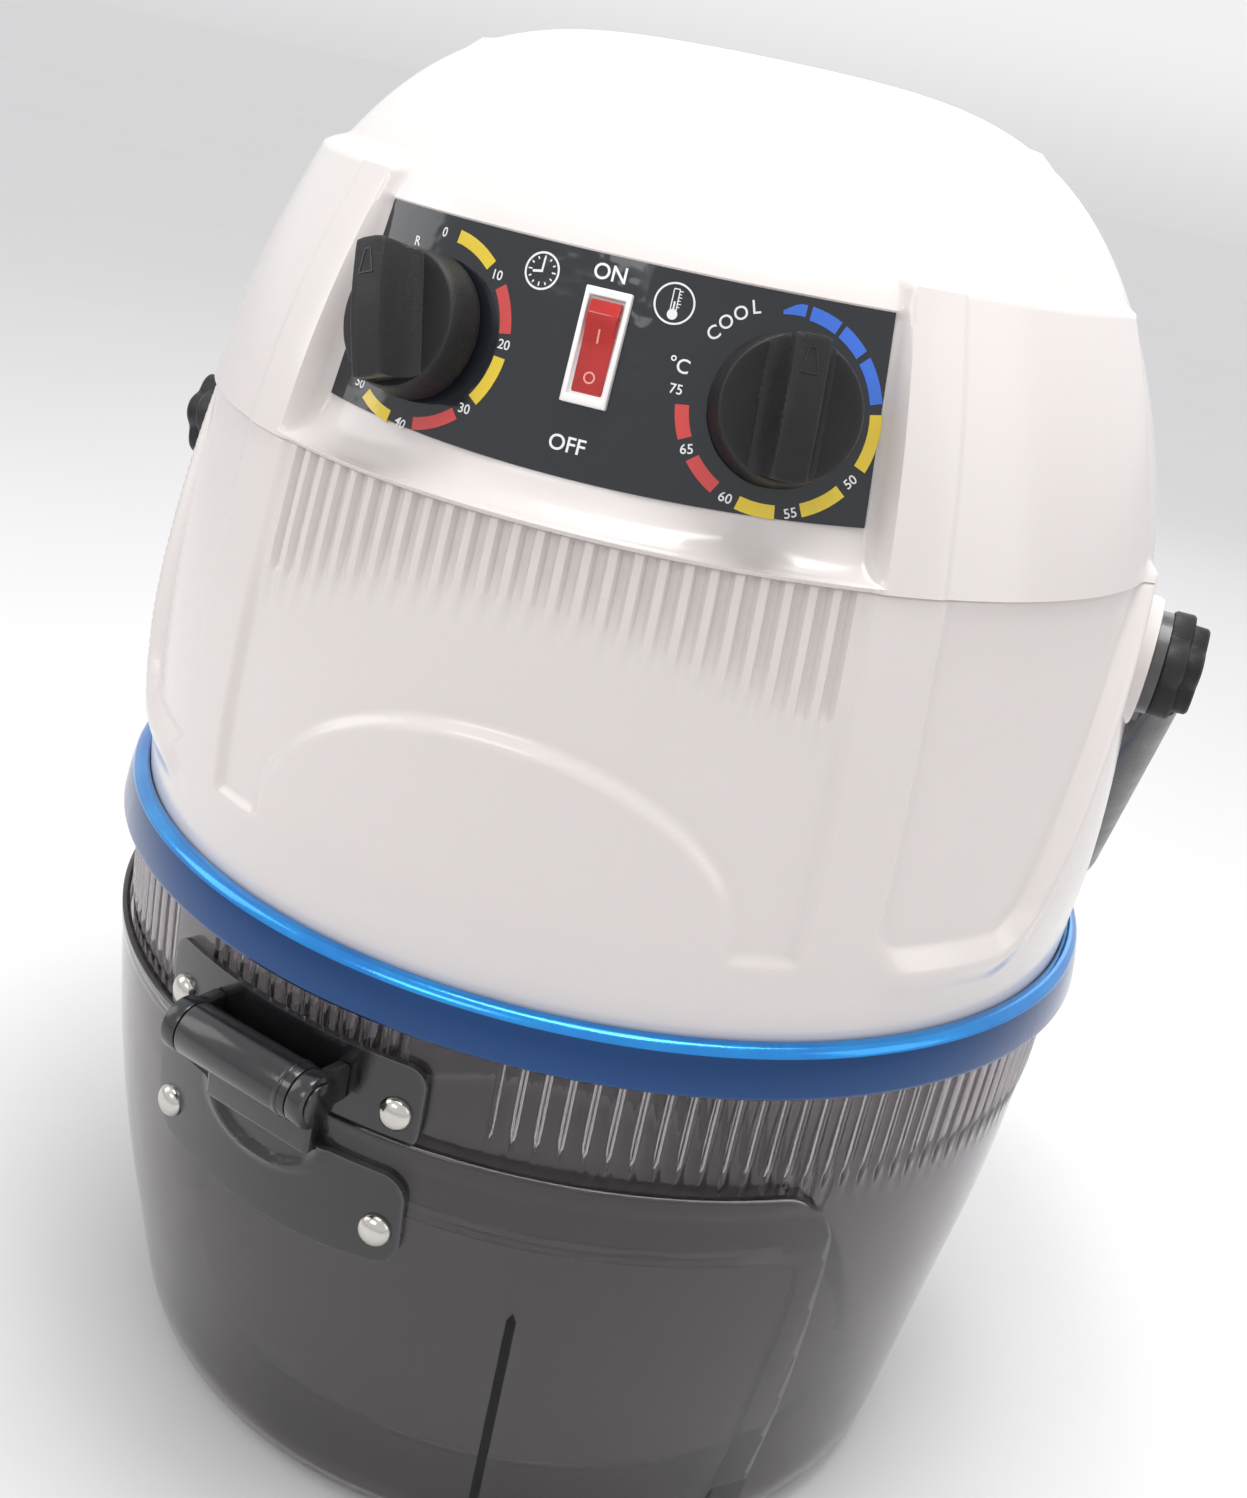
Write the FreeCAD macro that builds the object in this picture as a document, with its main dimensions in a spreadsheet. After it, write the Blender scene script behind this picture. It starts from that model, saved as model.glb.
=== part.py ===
"""Salon hood hair dryer: a domed casing on a clear hood with a lift-up visor, tilting in a tubular fork.

Frame: millimetres, +Z up, control panel towards -Y. The origin is on the stem that plugs into the
stand, at its shoulder. The casing, the hood and the fork each have their own placement, worked out
from the sheet "sizes", and every sub-part is drawn in the frame of the piece that carries it.
"""
import FreeCAD
import Part
import math
import os
import re

import Sketcher

from FreeCAD import Placement, Rotation, Vector

SIZES = {
    # casing: heights are above the upper edge of the trim ring
    "ring_radius": 190.0, "ring_height": 16.7, "ring_flare": 3.0, "ring_bore": 187.2,
    "foot_radius": 184.5, "belly_radius": 186.3, "belly_height": 40.0,
    "seam_height": 146.3, "seam_radius": 175.6, "casing_wall": 3.0,
    "dome_height": 285.2, "dome_rise": 1.2, "dome_fullness": 3.83,
    "screw_reach": 164.5, "pad_radius": 24.0, "pad_face": 184.0, "pivot_height": 111.0,
    # control panel: a strip of a cone
    "panel_bottom": 163.5, "panel_top": 222.5, "panel_bottom_radius": 162.4,
    "panel_top_radius": 148.9, "panel_half_angle": 32.0, "panel_thickness": 3.0,
    "ledge_height": 147.7, "ledge_radius": 177.2,
    "dial_azimuth": 20.7, "dial_height": 190.0, "switch_height": 197.0,
    "knob_radius": 22.0, "knob_skirt": 12.0, "knob_grip": 15.0, "grip_width": 10.5,
    "knob_gap": 1.5, "shaft_radius": 3.0, "bush_radius": 5.0, "running_gap": 0.05,
    "timer_rest": 20.0,
    "bezel_length": 33.3, "bezel_width": 13.9, "bezel_rise": 2.2,
    "rocker_length": 26.6, "rocker_width": 9.4, "rocker_tilt": 8.0, "rocker_pivot": 1.6, "switch_depth": 19.0,
    # clear hood and visor, turned together on the ring
    "hood_turn": 17.4, "hood_top_radius": 186.6, "hood_wall": 3.0,
    "hood_waist_depth": 80.0, "hood_waist_radius": 184.3,
    "hood_middle_depth": 140.0, "hood_middle_radius": 179.3,
    "hood_rim_radius": 167.5, "hood_rim_depth": 225.0, "rim_roll": 11.0,
    "window_half_angle": 61.0, "window_top": 87.5,
    "visor_half_angle": 67.0, "visor_top": 62.0, "visor_gap": 0.9, "visor_wall": 3.0,
    "lip_half_angle": 60.2,
    # visor hinge
    "barrel_radius": 9.5, "barrel_reach": 201.0, "barrel_depth": 45.0,
    "barrel_length": 62.0, "end_knuckle": 6.0, "pin_radius": 3.5,
    "bracket_thickness": 2.6, "bracket_half_angle": 17.6,
    "upper_bracket_top": 29.0, "upper_bracket_bottom": 60.0,
    "lower_bracket_top": 72.0, "lower_bracket_bottom": 106.0,
    "screw_angle": 14.7, "upper_screw_depth": 48.0, "lower_screw_depth": 92.8,
    "screw_head_radius": 6.0,
    # fork and stem
    "fork_reach": 335.0, "fork_fall": 40.0, "fork_tube_radius": 9.0, "fork_half_width": 193.5,
    "fork_corner": 120.0, "eye_radius": 19.0, "eye_thickness": 4.0, "eye_gap": 0.3,
    "strap_length": 34.0, "strap_width": 18.0, "strap_inset": 1.0,
    "stud_radius": 5.0, "clamp_radius": 20.0, "clamp_length": 14.0, "clamp_bore_depth": 11.0,
    "boss_radius": 16.0, "boss_drop": 15.0, "stem_radius": 11.0, "stem_length": 65.0,
    # air path inside
    "bowl_radius": 158.0, "bowl_height": 84.0, "bowl_wall": 2.5, "bowl_hole_radius": 5.0,
    "shroud_radius": 90.0, "shroud_bottom": 88.0, "shroud_top": 172.0, "shroud_wall": 1.5,
    "baffle_height": 101.0, "fan_radius": 84.0, "fan_bottom": 146.0, "fan_width": 18.0,
    "motor_radius": 36.0, "motor_bottom": 177.0, "motor_length": 56.0,
    "coil_radius": 66.0, "coil_wire": 3.0, "former_bottom": 92.0, "former_height": 42.0,
    "block_reach": 142.0, "block_height": 53.0, "gland_radius": 8.0, "cable_radius": 4.0,
    "lead_radius": 3.2, "lead_top": 205.0, "lead_bend": 40.0,
}

doc = FreeCAD.newDocument("hood_dryer")
sizes = doc.addObject("Spreadsheet::Sheet", "sizes")
for row, (alias, value) in enumerate(SIZES.items(), start=1):
    sizes.set(f"A{row}", alias)
    sizes.set(f"B{row}", str(value))
    sizes.setAlias(f"B{row}", alias)
doc.recompute()
parts = []


def on_sheet(expression):
    """The same expression with each size's name led by its sheet."""
    return re.sub(r"[a-z_]+", lambda word: f"sizes.{word[0]}" if word[0] in SIZES else word[0],
                  expression)


def size(expression):
    """The value in millimetres or degrees of an expression of sizes."""
    return float(sizes.evalExpression(on_sheet(expression).replace("sizes.", "")))


def bind(item, **properties):
    """Each property of item follows an expression of the sheet."""
    for name, expression in properties.items():
        item.setExpression(name.replace("__", "."), on_sheet(expression))
    return item


def keep(item, label, place=None):
    """Name a finished sub-part, put it in its place and list it for export."""
    item.Label = label
    if place is not None:
        item.Placement = place.multiply(item.Placement)
    parts.append(item)
    return item


# ---------------------------------------------------------------- frames

def ring_centre():
    """Middle of the trim ring's upper edge in the row's frame."""
    fall = math.radians(size("fork_fall"))
    back = size("fork_reach") * math.cos(fall)
    drop = size("fork_reach") * math.sin(fall)
    return Vector(0, -back, drop + size("boss_drop") - size("pivot_height"))


def turned(azimuth):
    """Frame on the ring's centre whose +X points out at an azimuth, 0 at the control panel."""
    return Placement(ring_centre(), Rotation(Vector(0, 0, 1), azimuth - 90))


CASING = turned(0)
HOOD = turned(-size("hood_turn"))
REAR = turned(180)


def panel_frame(azimuth, height):
    """Frame on the panel's face: +X to the right, +Y up the face, +Z out of it."""
    slope = (size("panel_bottom_radius") - size("panel_top_radius")) \
        / (size("panel_top") - size("panel_bottom"))
    radius = size("panel_bottom_radius") - slope * (height - size("panel_bottom"))
    turn, lean = math.radians(azimuth), math.atan(slope)
    outward = Vector(math.sin(turn), -math.cos(turn), 0)
    across = Vector(math.cos(turn), math.sin(turn), 0)
    normal = outward * math.cos(lean) + Vector(0, 0, math.sin(lean))
    foot = ring_centre() + outward * radius + Vector(0, 0, height)
    return Placement(foot, Rotation(across, normal.cross(across), normal, "ZXY"))


def side_frame(side):
    """Frame on the tilt axis whose +Z points out of the casing, side +1 right or -1 left."""
    place = Placement(ring_centre() + Vector(0, 0, size("pivot_height")), Rotation())
    return place.multiply(Placement(Vector(), Rotation(Vector(0, 1, 0), 90 * side)))


# ---------------------------------------------------------------- makers

def new_body(name):
    return doc.addObject("PartDesign::Body", name)


def plane_of(body, role):
    return next(item for item in body.Origin.OriginFeatures if item.Role == role)


def outline(body, name, corners, plane="XZ_Plane", offset=None):
    """A closed sketch through corners given as pairs of expressions.

    An entry ("arc", x, y) bends the side there through that point, and ("spline", points) puts a
    free curve through the points between the corners on either side of it.
    """
    sketch = body.newObject("Sketcher::SketchObject", name)
    sketch.AttachmentSupport = [(plane_of(body, plane), "")]
    sketch.MapMode = "FlatFace"
    if offset:
        sketch.setExpression("AttachmentOffset.Base.z", on_sheet(offset))
    turns = [entry for entry in corners if entry[0] not in ("arc", "spline")]
    points = [Vector(size(x), size(y), 0) for x, y in turns]
    bends = {}
    count = 0
    for entry in corners:
        if entry[0] in ("arc", "spline"):
            bends[count - 1] = entry
        else:
            count += 1
    ends, through = [], []
    for index, start in enumerate(points):
        stop = points[(index + 1) % len(points)]
        bend = bends.get(index)
        if bend is None:
            curve = Part.LineSegment(start, stop)
        elif bend[0] == "arc":
            middle = Vector(size(bend[1]), size(bend[2]), 0)
            clockwise = (middle - start).cross(stop - start).z < 0
            curve = Part.Arc(stop, middle, start) if clockwise else Part.Arc(start, middle, stop)
            through.append((len(ends), bend[1], bend[2]))
        else:
            curve = Part.BSplineCurve()
            curve.interpolate([start] + [Vector(*point, 0) for point in bend[1]] + [stop])
        number = sketch.addGeometry(curve, False)
        made = sketch.Geometry[number]
        forward = made.StartPoint.distanceToPoint(start) < 1e-6
        ends.append((number, 1 if forward else 2, 2 if forward else 1))
    for index, (x, y) in enumerate(turns):
        number, first, _ = ends[index]
        before, _, last = ends[index - 1]
        sketch.addConstraint(Sketcher.Constraint("Coincident", before, last, number, first))
        fix_point(sketch, number, first, x, y)
    for index, x, y in through:
        mark = sketch.addGeometry(Part.Point(Vector(size(x), size(y), 0)), True)
        fix_point(sketch, mark, 1, x, y)
        sketch.addConstraint(Sketcher.Constraint("PointOnObject", mark, 1, index))
    return sketch


def fix_point(sketch, number, corner, x, y):
    """Hold a corner of a sketch's curve at a pair of expressions."""
    for direction, expression in (("DistanceX", x), ("DistanceY", y)):
        rule = sketch.addConstraint(
            Sketcher.Constraint(direction, -1, 1, number, corner, size(expression)))
        sketch.setExpression(f"Constraints[{rule}]", on_sheet(expression))


def spin(body, sketch, name, angle=None, cut=False):
    """Turn a sketch about the body's Z axis: a whole turn, or an angle centred on its +X."""
    kind = "PartDesign::Groove" if cut else "PartDesign::Revolution"
    feature = body.newObject(kind, name)
    feature.Profile = sketch
    feature.ReferenceAxis = (sketch, ["V_Axis"])
    feature.Angle = 360
    if angle:
        feature.Midplane = True
        bind(feature, Angle=angle)
    return feature


def ring_part(name, corners, label, place=CASING):
    """A sub-part that is one outline spun a whole turn about the casing's axis."""
    body = new_body(name)
    spin(body, outline(body, f"{name}_outline", corners), f"{name}_turned")
    return keep(body, label, place)


def cylinder(name, radius, height, at=("0", "0", "0"), turn=None):
    item = doc.addObject("Part::Cylinder", name)
    bind(item, Radius=radius, Height=height)
    return put(item, at, turn)


def box(name, length, width, height, at=("0", "0", "0"), turn=None):
    """A block centred on its place in X and Y, standing on it in Z."""
    item = doc.addObject("Part::Box", name)
    bind(item, Length=length, Width=width, Height=height)
    x, y, z = at
    item = put(item, (x, y, z), turn)
    middle = Vector(-size(length) / 2, -size(width) / 2, 0)
    item.Placement = item.Placement.multiply(Placement(middle, Rotation()))
    return item


def put(item, at, turn):
    rotation = Rotation(*turn) if turn else Rotation()
    item.Placement = Placement(Vector(*(size(value) for value in at)), rotation)
    return item


def fuse(name, items):
    joined = doc.addObject("Part::MultiFuse", name)
    joined.Shapes = items
    joined.Refine = True
    return joined


def cut(name, base, tools):
    removed = doc.addObject("Part::Cut", name)
    removed.Base = base
    removed.Tool = tools[0] if len(tools) == 1 else fuse(f"{name}_tools", tools)
    removed.Refine = True
    return removed


def at_angle(reach, height, azimuth, turn=None):
    """Placement at a distance from the axis, a height and an azimuth from a frame's +X."""
    turn_about = Placement(Vector(), Rotation(Vector(0, 0, 1), azimuth))
    out = Placement(Vector(reach, 0, height), Rotation(*turn) if turn else Rotation())
    return turn_about.multiply(out)


OUTWARD = (Vector(0, 1, 0), 90)


# ---------------------------------------------------------------- casing

def dome_radius(height, inset=0.0):
    """Radius of the upper cover at a height, for its outside or a skin inset from it."""
    top = size("dome_height") - inset
    part_way = (height - size("seam_height")) / (top - size("seam_height"))
    full = max(0.0, 1 - part_way ** size("dome_rise"))
    return (size("seam_radius") - inset) * full ** (1 / size("dome_fullness"))


def dome_curve(inset, steps=9):
    """Points between the seam and the crown, closer together towards the crown."""
    low, high = size("seam_height"), size("dome_height") - inset
    heights = [low + (high - low) * math.sin(math.pi / 2 * step / steps) for step in range(1, steps)]
    return [(dome_radius(height, inset), height) for height in heights]


def upper_cover():
    """Domed top of the casing: crown, panel window, ledge below it, side blocks and pillars."""
    body = new_body("Cover")
    shell = outline(body, "cover_outline", [
        ("seam_radius", "seam_height"), ("spline", dome_curve(0)), ("0", "dome_height"),
        ("0", "dome_height - casing_wall"),
        ("spline", list(reversed(dome_curve(size("casing_wall"))))),
        ("seam_radius - casing_wall", "seam_height")])
    spin(body, shell, "cover_turned")
    window = outline(body, "cover_window", [
        ("100", "ledge_height + 2"), ("240", "ledge_height + 2"),
        ("240", "panel_top + 1"), ("100", "panel_top + 1")])
    spin(body, window, "cover_window_cut", "2 * panel_half_angle", cut=True)
    ledge = outline(body, "cover_ledge", [
        ("ledge_radius", "ledge_height"), ("panel_bottom_radius", "panel_bottom"),
        ("panel_bottom_radius - 6", "panel_bottom"), ("panel_bottom_radius - 6", "panel_bottom - 3"),
        ("panel_bottom_radius - 1", "panel_bottom - 4"), ("seam_radius - 3", "ledge_height - 1.4"),
        ("ledge_radius", "ledge_height - 1.4")])
    spin(body, ledge, "cover_ledge_turned", "2 * panel_half_angle + 1.2")
    slots = []
    for step in range(-5, 6):
        slot = box(f"inlet_slot_{step + 5}", "30", "4", "34")
        slot.Placement = at_angle(160, 165, 180 + 5 * step).multiply(slot.Placement)
        slots.append(slot)
    bosses, holes = screw_bosses("cover", "seam_height", "10", "7", "1.9")
    return keep(cut("cover_with_inlets", fuse("cover_with_bosses", [body] + bosses), slots + holes),
                "upper_cover", CASING)


SCREW_AZIMUTHS = (52, 128, 232, 308)


def screw_bosses(name, foot, height, boss_radius, hole_radius):
    """Round bosses on the inside of the wall at each casing screw, and the holes down them."""
    bosses, holes = [], []
    for azimuth in SCREW_AZIMUTHS:
        for items, radius in ((bosses, boss_radius), (holes, hole_radius)):
            item = cylinder(f"{name}_boss_{azimuth}_{len(items)}", radius, height)
            item.Placement = at_angle(size("screw_reach"), size(foot), azimuth)
            items.append(item)
    return bosses, holes


def lower_casing():
    """Barrel of the casing between the trim ring and the seam, with its pivot pads."""
    body = new_body("Barrel")
    wall = outline(body, "barrel_outline", [
        ("foot_radius", "0"), ("arc", "belly_radius", "belly_height"),
        ("seam_radius", "seam_height - 0.2"),
        ("seam_radius - casing_wall", "seam_height - 0.2"),
        ("arc", "belly_radius - casing_wall", "belly_height"),
        ("foot_radius - casing_wall", "6"), ("bowl_radius + 12", "6"), ("bowl_radius + 12", "0")])
    spin(body, wall, "barrel_turned")
    pads = []
    holes = []
    for side in (-1, 1):
        reach = f"{side} * (seam_radius - 8)"
        turn = (Vector(1, 0, 0), -90 * side)
        pads.append(cylinder(f"pad_{side + 1}", "pad_radius", "pad_face - seam_radius + 8",
                             ("0", reach, "pivot_height"), turn))
        holes.append(cylinder(f"pad_hole_{side + 1}", "stud_radius", "60",
                              ("0", f"{side} * 150", "pivot_height"), turn))
    entry = cylinder("gland_hole", "gland_radius - 2", "40")
    entry.Placement = at_angle(160, size("block_height"), 180, OUTWARD)
    bosses, screw_holes = screw_bosses("barrel", "seam_height - 24.2", "24", "8.5", "2.1")
    hull = fuse("barrel_with_pads", [body] + pads + bosses)
    return keep(cut("barrel_with_holes", hull, holes + screw_holes + [entry]), "lower_casing", CASING)


def trim_ring():
    """Blue anodised aluminium band that clamps the clear hood to the casing."""
    return ring_part("Ring", [
        ("foot_radius", "-0.3"), ("ring_radius - 1.5", "-0.3"), ("ring_radius", "-1.8"),
        ("ring_radius + ring_flare", "1 - ring_height"), ("ring_radius + ring_flare", "-ring_height"),
        ("ring_bore", "-ring_height"), ("ring_bore", "-2.5"), ("foot_radius", "-2.5")], "trim_ring")


def control_panel():
    """Dark printed panel, a strip of a cone, with holes for two spindles and the switch."""
    body = new_body("Panel")
    strip = outline(body, "panel_outline", [
        ("panel_bottom_radius", "panel_bottom + 0.3"), ("panel_top_radius", "panel_top"),
        ("panel_top_radius - panel_thickness", "panel_top"),
        ("panel_bottom_radius - panel_thickness", "panel_bottom + 0.3")])
    spin(body, strip, "panel_turned", "2 * panel_half_angle - 0.6")
    tools = []
    for number, azimuth in enumerate((-size("dial_azimuth"), size("dial_azimuth"))):
        hole = cylinder(f"spindle_hole_{number}", "bush_radius + 0.4", "30")
        hole.Placement = panel_frame(azimuth, size("dial_height")).multiply(
            Placement(Vector(0, 0, -15), Rotation()))
        tools.append(hole)
    opening = box("switch_opening", "bezel_width - 2.4", "bezel_length - 2.6", "30")
    opening.Placement = panel_frame(0, size("switch_height")).multiply(
        Placement(Vector(0, 0, -15), Rotation())).multiply(opening.Placement)
    body.Placement = CASING
    return keep(cut("panel_with_holes", body, tools + [opening]), "control_panel")


def casing_screws():
    """Four pan-head screws that hold the two casing shells together from inside the seam."""
    screws = []
    for azimuth in SCREW_AZIMUTHS:
        for part, radius, length, drop in (("shank", "1.8", "36", 27.4), ("head", "3.8", "3", 27.4)):
            piece = cylinder(f"casing_{part}_{azimuth}", radius, length)
            piece.Placement = at_angle(size("screw_reach"), size("seam_height") - drop, azimuth)
            screws.append(piece)
    return keep(fuse("casing_screw_set", screws), "casing_screws", CASING)


# ---------------------------------------------------------------- controls

def spindle_control(name, azimuth, rest_angle):
    """Control body behind the panel with its bush, its shaft, and the knob in front."""
    place = panel_frame(azimuth, size("dial_height"))
    block = fuse(f"{name}_block", [
        box(f"{name}_case", "40", "40", "26", ("0", "0", "-31")),
        cylinder(f"{name}_bush", "bush_radius", "panel_thickness + 2.4",
                 ("0", "0", "-panel_thickness - 2"))])
    bore = cylinder(f"{name}_bore", "shaft_radius + running_gap", "26", ("0", "0", "-20"))
    keep(cut(f"{name}_body_bored", block, [bore]), f"{name}_body", place)
    turned_place = place.multiply(Placement(Vector(), Rotation(Vector(0, 0, 1), rest_angle)))
    shaft = cylinder(f"{name}_shaft_turned", "shaft_radius", "19 + knob_gap + knob_skirt",
                     ("0", "0", "-19"))
    keep(shaft, f"{name}_shaft", turned_place)
    knob = fuse(f"{name}_knob_solid", [
        cylinder(f"{name}_skirt", "knob_radius", "knob_skirt", ("0", "0", "knob_gap")),
        box(f"{name}_grip", "grip_width", "2 * knob_radius - 2", "knob_grip + 4",
            ("0", "0", "knob_gap + knob_skirt - 4"))])
    seat = cylinder(f"{name}_seat", "shaft_radius", "knob_skirt", ("0", "0", "knob_gap"))
    keep(cut(f"{name}_knob_bored", knob, [seat]), f"{name}_knob", turned_place)


def rocker_switch():
    """Lit rocker switch: housing with its bezel, and the rocker tipped to off."""
    place = panel_frame(0, size("switch_height"))
    housing = fuse("switch_solid", [
        box("switch_bezel", "bezel_width", "bezel_length", "bezel_rise"),
        box("switch_case", "bezel_width - 2.8", "bezel_length - 3", "switch_depth",
            ("0", "0", "-switch_depth"))])
    well = box("switch_well", "rocker_width + 0.8", "rocker_length + 1.8", "12", ("0", "0", "-7"))
    keep(cut("switch_hollow", housing, [well]), "switch_housing", place)
    body = new_body("Rocker")
    half = "rocker_length / 2"
    profile = outline(body, "rocker_outline", [
        (f"-{half}", "2.6"), ("0", "0.6"), (half, "2.6"), (half, "-1.2"), ("3", "-3.4"),
        ("-3", "-3.4"), (f"-{half}", "-1.2")], plane="YZ_Plane")
    pad = body.newObject("PartDesign::Pad", "rocker_pad")
    pad.Profile = profile
    pad.Midplane = True
    bind(pad, Length="rocker_width")
    trunnion = cylinder("rocker_trunnion", "1.2", "rocker_width + 0.6",
                        ("-rocker_width / 2 - 0.3", "0", "-rocker_pivot"), (Vector(0, 1, 0), 90))
    tip = Placement(Vector(0, 0, size("bezel_rise - 1")),
                    Rotation(Vector(1, 0, 0), size("rocker_tilt")))
    keep(fuse("rocker_solid", [body, trunnion]), "rocker", place.multiply(tip))


# ---------------------------------------------------------------- hood and visor

def hood_wall(out):
    """Outer line of the hood, or of a skin a distance out from it, from the ring to the rim."""
    return [("arc", f"hood_waist_radius + {out}", "-hood_waist_depth")]


def hood_shell():
    """Smoked polycarbonate hood with a rolled rim and the visor's window cut out of it."""
    body = new_body("Hood")
    thick = "hood_wall"
    wall = outline(body, "hood_outline", [
        ("hood_top_radius", "-3"), *hood_wall("0"), ("hood_rim_radius", "-hood_rim_depth"),
        ("arc", "hood_rim_radius - rim_roll", "-hood_rim_depth - rim_roll"),
        ("hood_rim_radius - 2 * rim_roll", "-hood_rim_depth"),
        (f"hood_rim_radius - 2 * rim_roll + {thick}", "-hood_rim_depth"),
        ("arc", "hood_rim_radius - rim_roll", f"-hood_rim_depth - rim_roll + {thick}"),
        (f"hood_rim_radius - {thick}", "-hood_rim_depth"), *hood_wall(f"-{thick}"),
        (f"hood_top_radius - {thick}", "-3")])
    spin(body, wall, "hood_turned")
    window = outline(body, "hood_window", [
        ("120", "-window_top"), ("230", "-window_top"), ("230", "-hood_rim_depth - 30"),
        ("120", "-hood_rim_depth - 30")])
    spin(body, window, "hood_window_cut", "2 * window_half_angle", cut=True)
    return keep(body, "hood_shell", HOOD)


def visor():
    """Lift-up visor that laps over the window, with its own length of rolled rim."""
    body = new_body("Visor")
    near, far = "visor_gap", "visor_gap + visor_wall"
    wall = outline(body, "visor_outline", [
        (f"hood_waist_radius + 0.9 + {far}", "-visor_top"),
        ("arc", f"hood_middle_radius + {far}", "-hood_middle_depth"),
        (f"hood_rim_radius + {far}", "-hood_rim_depth"), (f"hood_rim_radius + {near}", "-hood_rim_depth"),
        ("arc", f"hood_middle_radius + {near}", "-hood_middle_depth"),
        (f"hood_waist_radius + 0.9 + {near}", "-visor_top")])
    spin(body, wall, "visor_turned", "2 * visor_half_angle")
    roll = "(rim_roll + (visor_gap + visor_wall) / 2)"
    inner = "hood_rim_radius - 2 * rim_roll"
    outer = f"hood_rim_radius + {far}"
    rim = outline(body, "visor_rim", [
        (outer, "-hood_rim_depth"),
        ("arc", f"{outer} - {roll}", f"-hood_rim_depth - {roll}"),
        (inner, "-hood_rim_depth"), (f"{inner} + visor_wall", "-hood_rim_depth"),
        ("arc", f"{outer} - {roll}", f"-hood_rim_depth - {roll} + visor_wall"),
        (f"{outer} - visor_wall", "-hood_rim_depth")])
    spin(body, rim, "visor_rim_turned", "2 * lip_half_angle")
    return keep(body, "visor", HOOD)


def curved_plate(name, inner, top, bottom, half_angle="bracket_half_angle"):
    body = new_body(name)
    plate = outline(body, f"{name}_outline", [
        (inner, f"-{top}"), (f"{inner} + bracket_thickness", f"-{top}"),
        (f"{inner} + bracket_thickness", f"-{bottom}"), (inner, f"-{bottom}")])
    spin(body, plate, f"{name}_turned", f"2 * {half_angle}")
    return body


ALONG_BARREL = (Vector(1, 0, 0), -90)
UPPER_SKIN = "hood_waist_radius + 2.1"
LOWER_SKIN = "hood_waist_radius + 1.2 + visor_gap + visor_wall"


def knuckle(name, start, length):
    return cylinder(name, "barrel_radius", length, ("barrel_reach", start, "-barrel_depth"),
                    ALONG_BARREL)


def hinge():
    """Visor hinge: two curved leaves with knuckles on one pin, held by domed screws."""
    bore = cylinder("barrel_bore", "pin_radius + running_gap", "barrel_length + 10",
                    ("barrel_reach", "-barrel_length / 2 - 5", "-barrel_depth"), ALONG_BARREL)
    leaf = [curved_plate("UpperLeaf", UPPER_SKIN, "upper_bracket_top", "upper_bracket_bottom")]
    for name, start in (("left", "-barrel_length / 2"), ("right", "barrel_length / 2 - end_knuckle")):
        leaf.append(knuckle(f"upper_knuckle_{name}", start, "end_knuckle"))
        leaf.append(box(f"upper_web_{name}", "12", "end_knuckle", "12",
                        ("barrel_reach - 9", f"{start} + end_knuckle / 2", "-barrel_depth - 6")))
    keep(cut("upper_leaf_bored", fuse("upper_leaf", leaf), [bore]), "hinge_upper_bracket", HOOD)
    middle = "barrel_length - 2 * end_knuckle - 0.8"
    leaf = [curved_plate("LowerLeaf", LOWER_SKIN, "lower_bracket_top", "lower_bracket_bottom"),
            knuckle("lower_knuckle", f"-({middle}) / 2", middle),
            box("lower_web", "4.5", middle, "34", ("barrel_reach - 8", "0", "-barrel_depth - 37"))]
    bore = cylinder("lower_bore", "pin_radius + running_gap", "barrel_length + 10",
                    ("barrel_reach", "-barrel_length / 2 - 5", "-barrel_depth"), ALONG_BARREL)
    keep(cut("lower_leaf_bored", fuse("lower_leaf", leaf), [bore]), "hinge_lower_bracket", HOOD)
    pin = cylinder("hinge_pin_turned", "pin_radius", "barrel_length - 1",
                   ("barrel_reach", "0.5 - barrel_length / 2", "-barrel_depth"), ALONG_BARREL)
    keep(pin, "hinge_pin", HOOD)
    for level, skin, depth in (("upper", UPPER_SKIN, "upper_screw_depth"),
                               ("lower", LOWER_SKIN, "lower_screw_depth")):
        heads = []
        for side in (-1, 1):
            place = at_angle(size(f"{skin} + bracket_thickness"), -size(depth),
                             side * size("screw_angle"), OUTWARD)
            dome = doc.addObject("Part::Sphere", f"{level}_dome_{side + 1}")
            bind(dome, Radius="screw_head_radius")
            dome.Angle1 = 0
            dome.Placement = place
            heads.append(dome)
        keep(fuse(f"{level}_screw_set", heads), f"hinge_{level}_screws", HOOD)


# ---------------------------------------------------------------- tilt pivots and fork

def pivots():
    """Stud, fork eye clamp and lobed hand knob on each side of the casing."""
    for name, side in (("left", -1), ("right", 1)):
        place = side_frame(side)
        stud = fuse(f"{name}_stud", [
            cylinder(f"{name}_shank", "stud_radius", "pad_face - seam_radius + 27",
                     ("0", "0", "seam_radius - 12")),
            cylinder(f"{name}_flange", "11", "4", ("0", "0", "seam_radius - 12"))])
        keep(stud, f"{name}_pivot_stud", place)
        eye_top = "pad_face + eye_gap + eye_thickness + eye_gap"
        knob = [cylinder(f"{name}_clamp_core", "clamp_radius - 5", "clamp_length", ("0", "0", eye_top))]
        for lobe in range(5):
            angle = math.radians(90 + 72 * lobe)
            reach_x, reach_y = 12.5 * math.cos(angle), 12.5 * math.sin(angle)
            knob.append(cylinder(f"{name}_lobe_{lobe}", "7.5", "clamp_length",
                                 (str(reach_x), str(reach_y), eye_top)))
        bore = cylinder(f"{name}_clamp_bore", "stud_radius + running_gap", "clamp_bore_depth", ("0", "0", eye_top))
        keep(cut(f"{name}_clamp_bored", fuse(f"{name}_clamp", knob), [bore]),
             f"{name}_clamp_knob", place)


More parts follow.
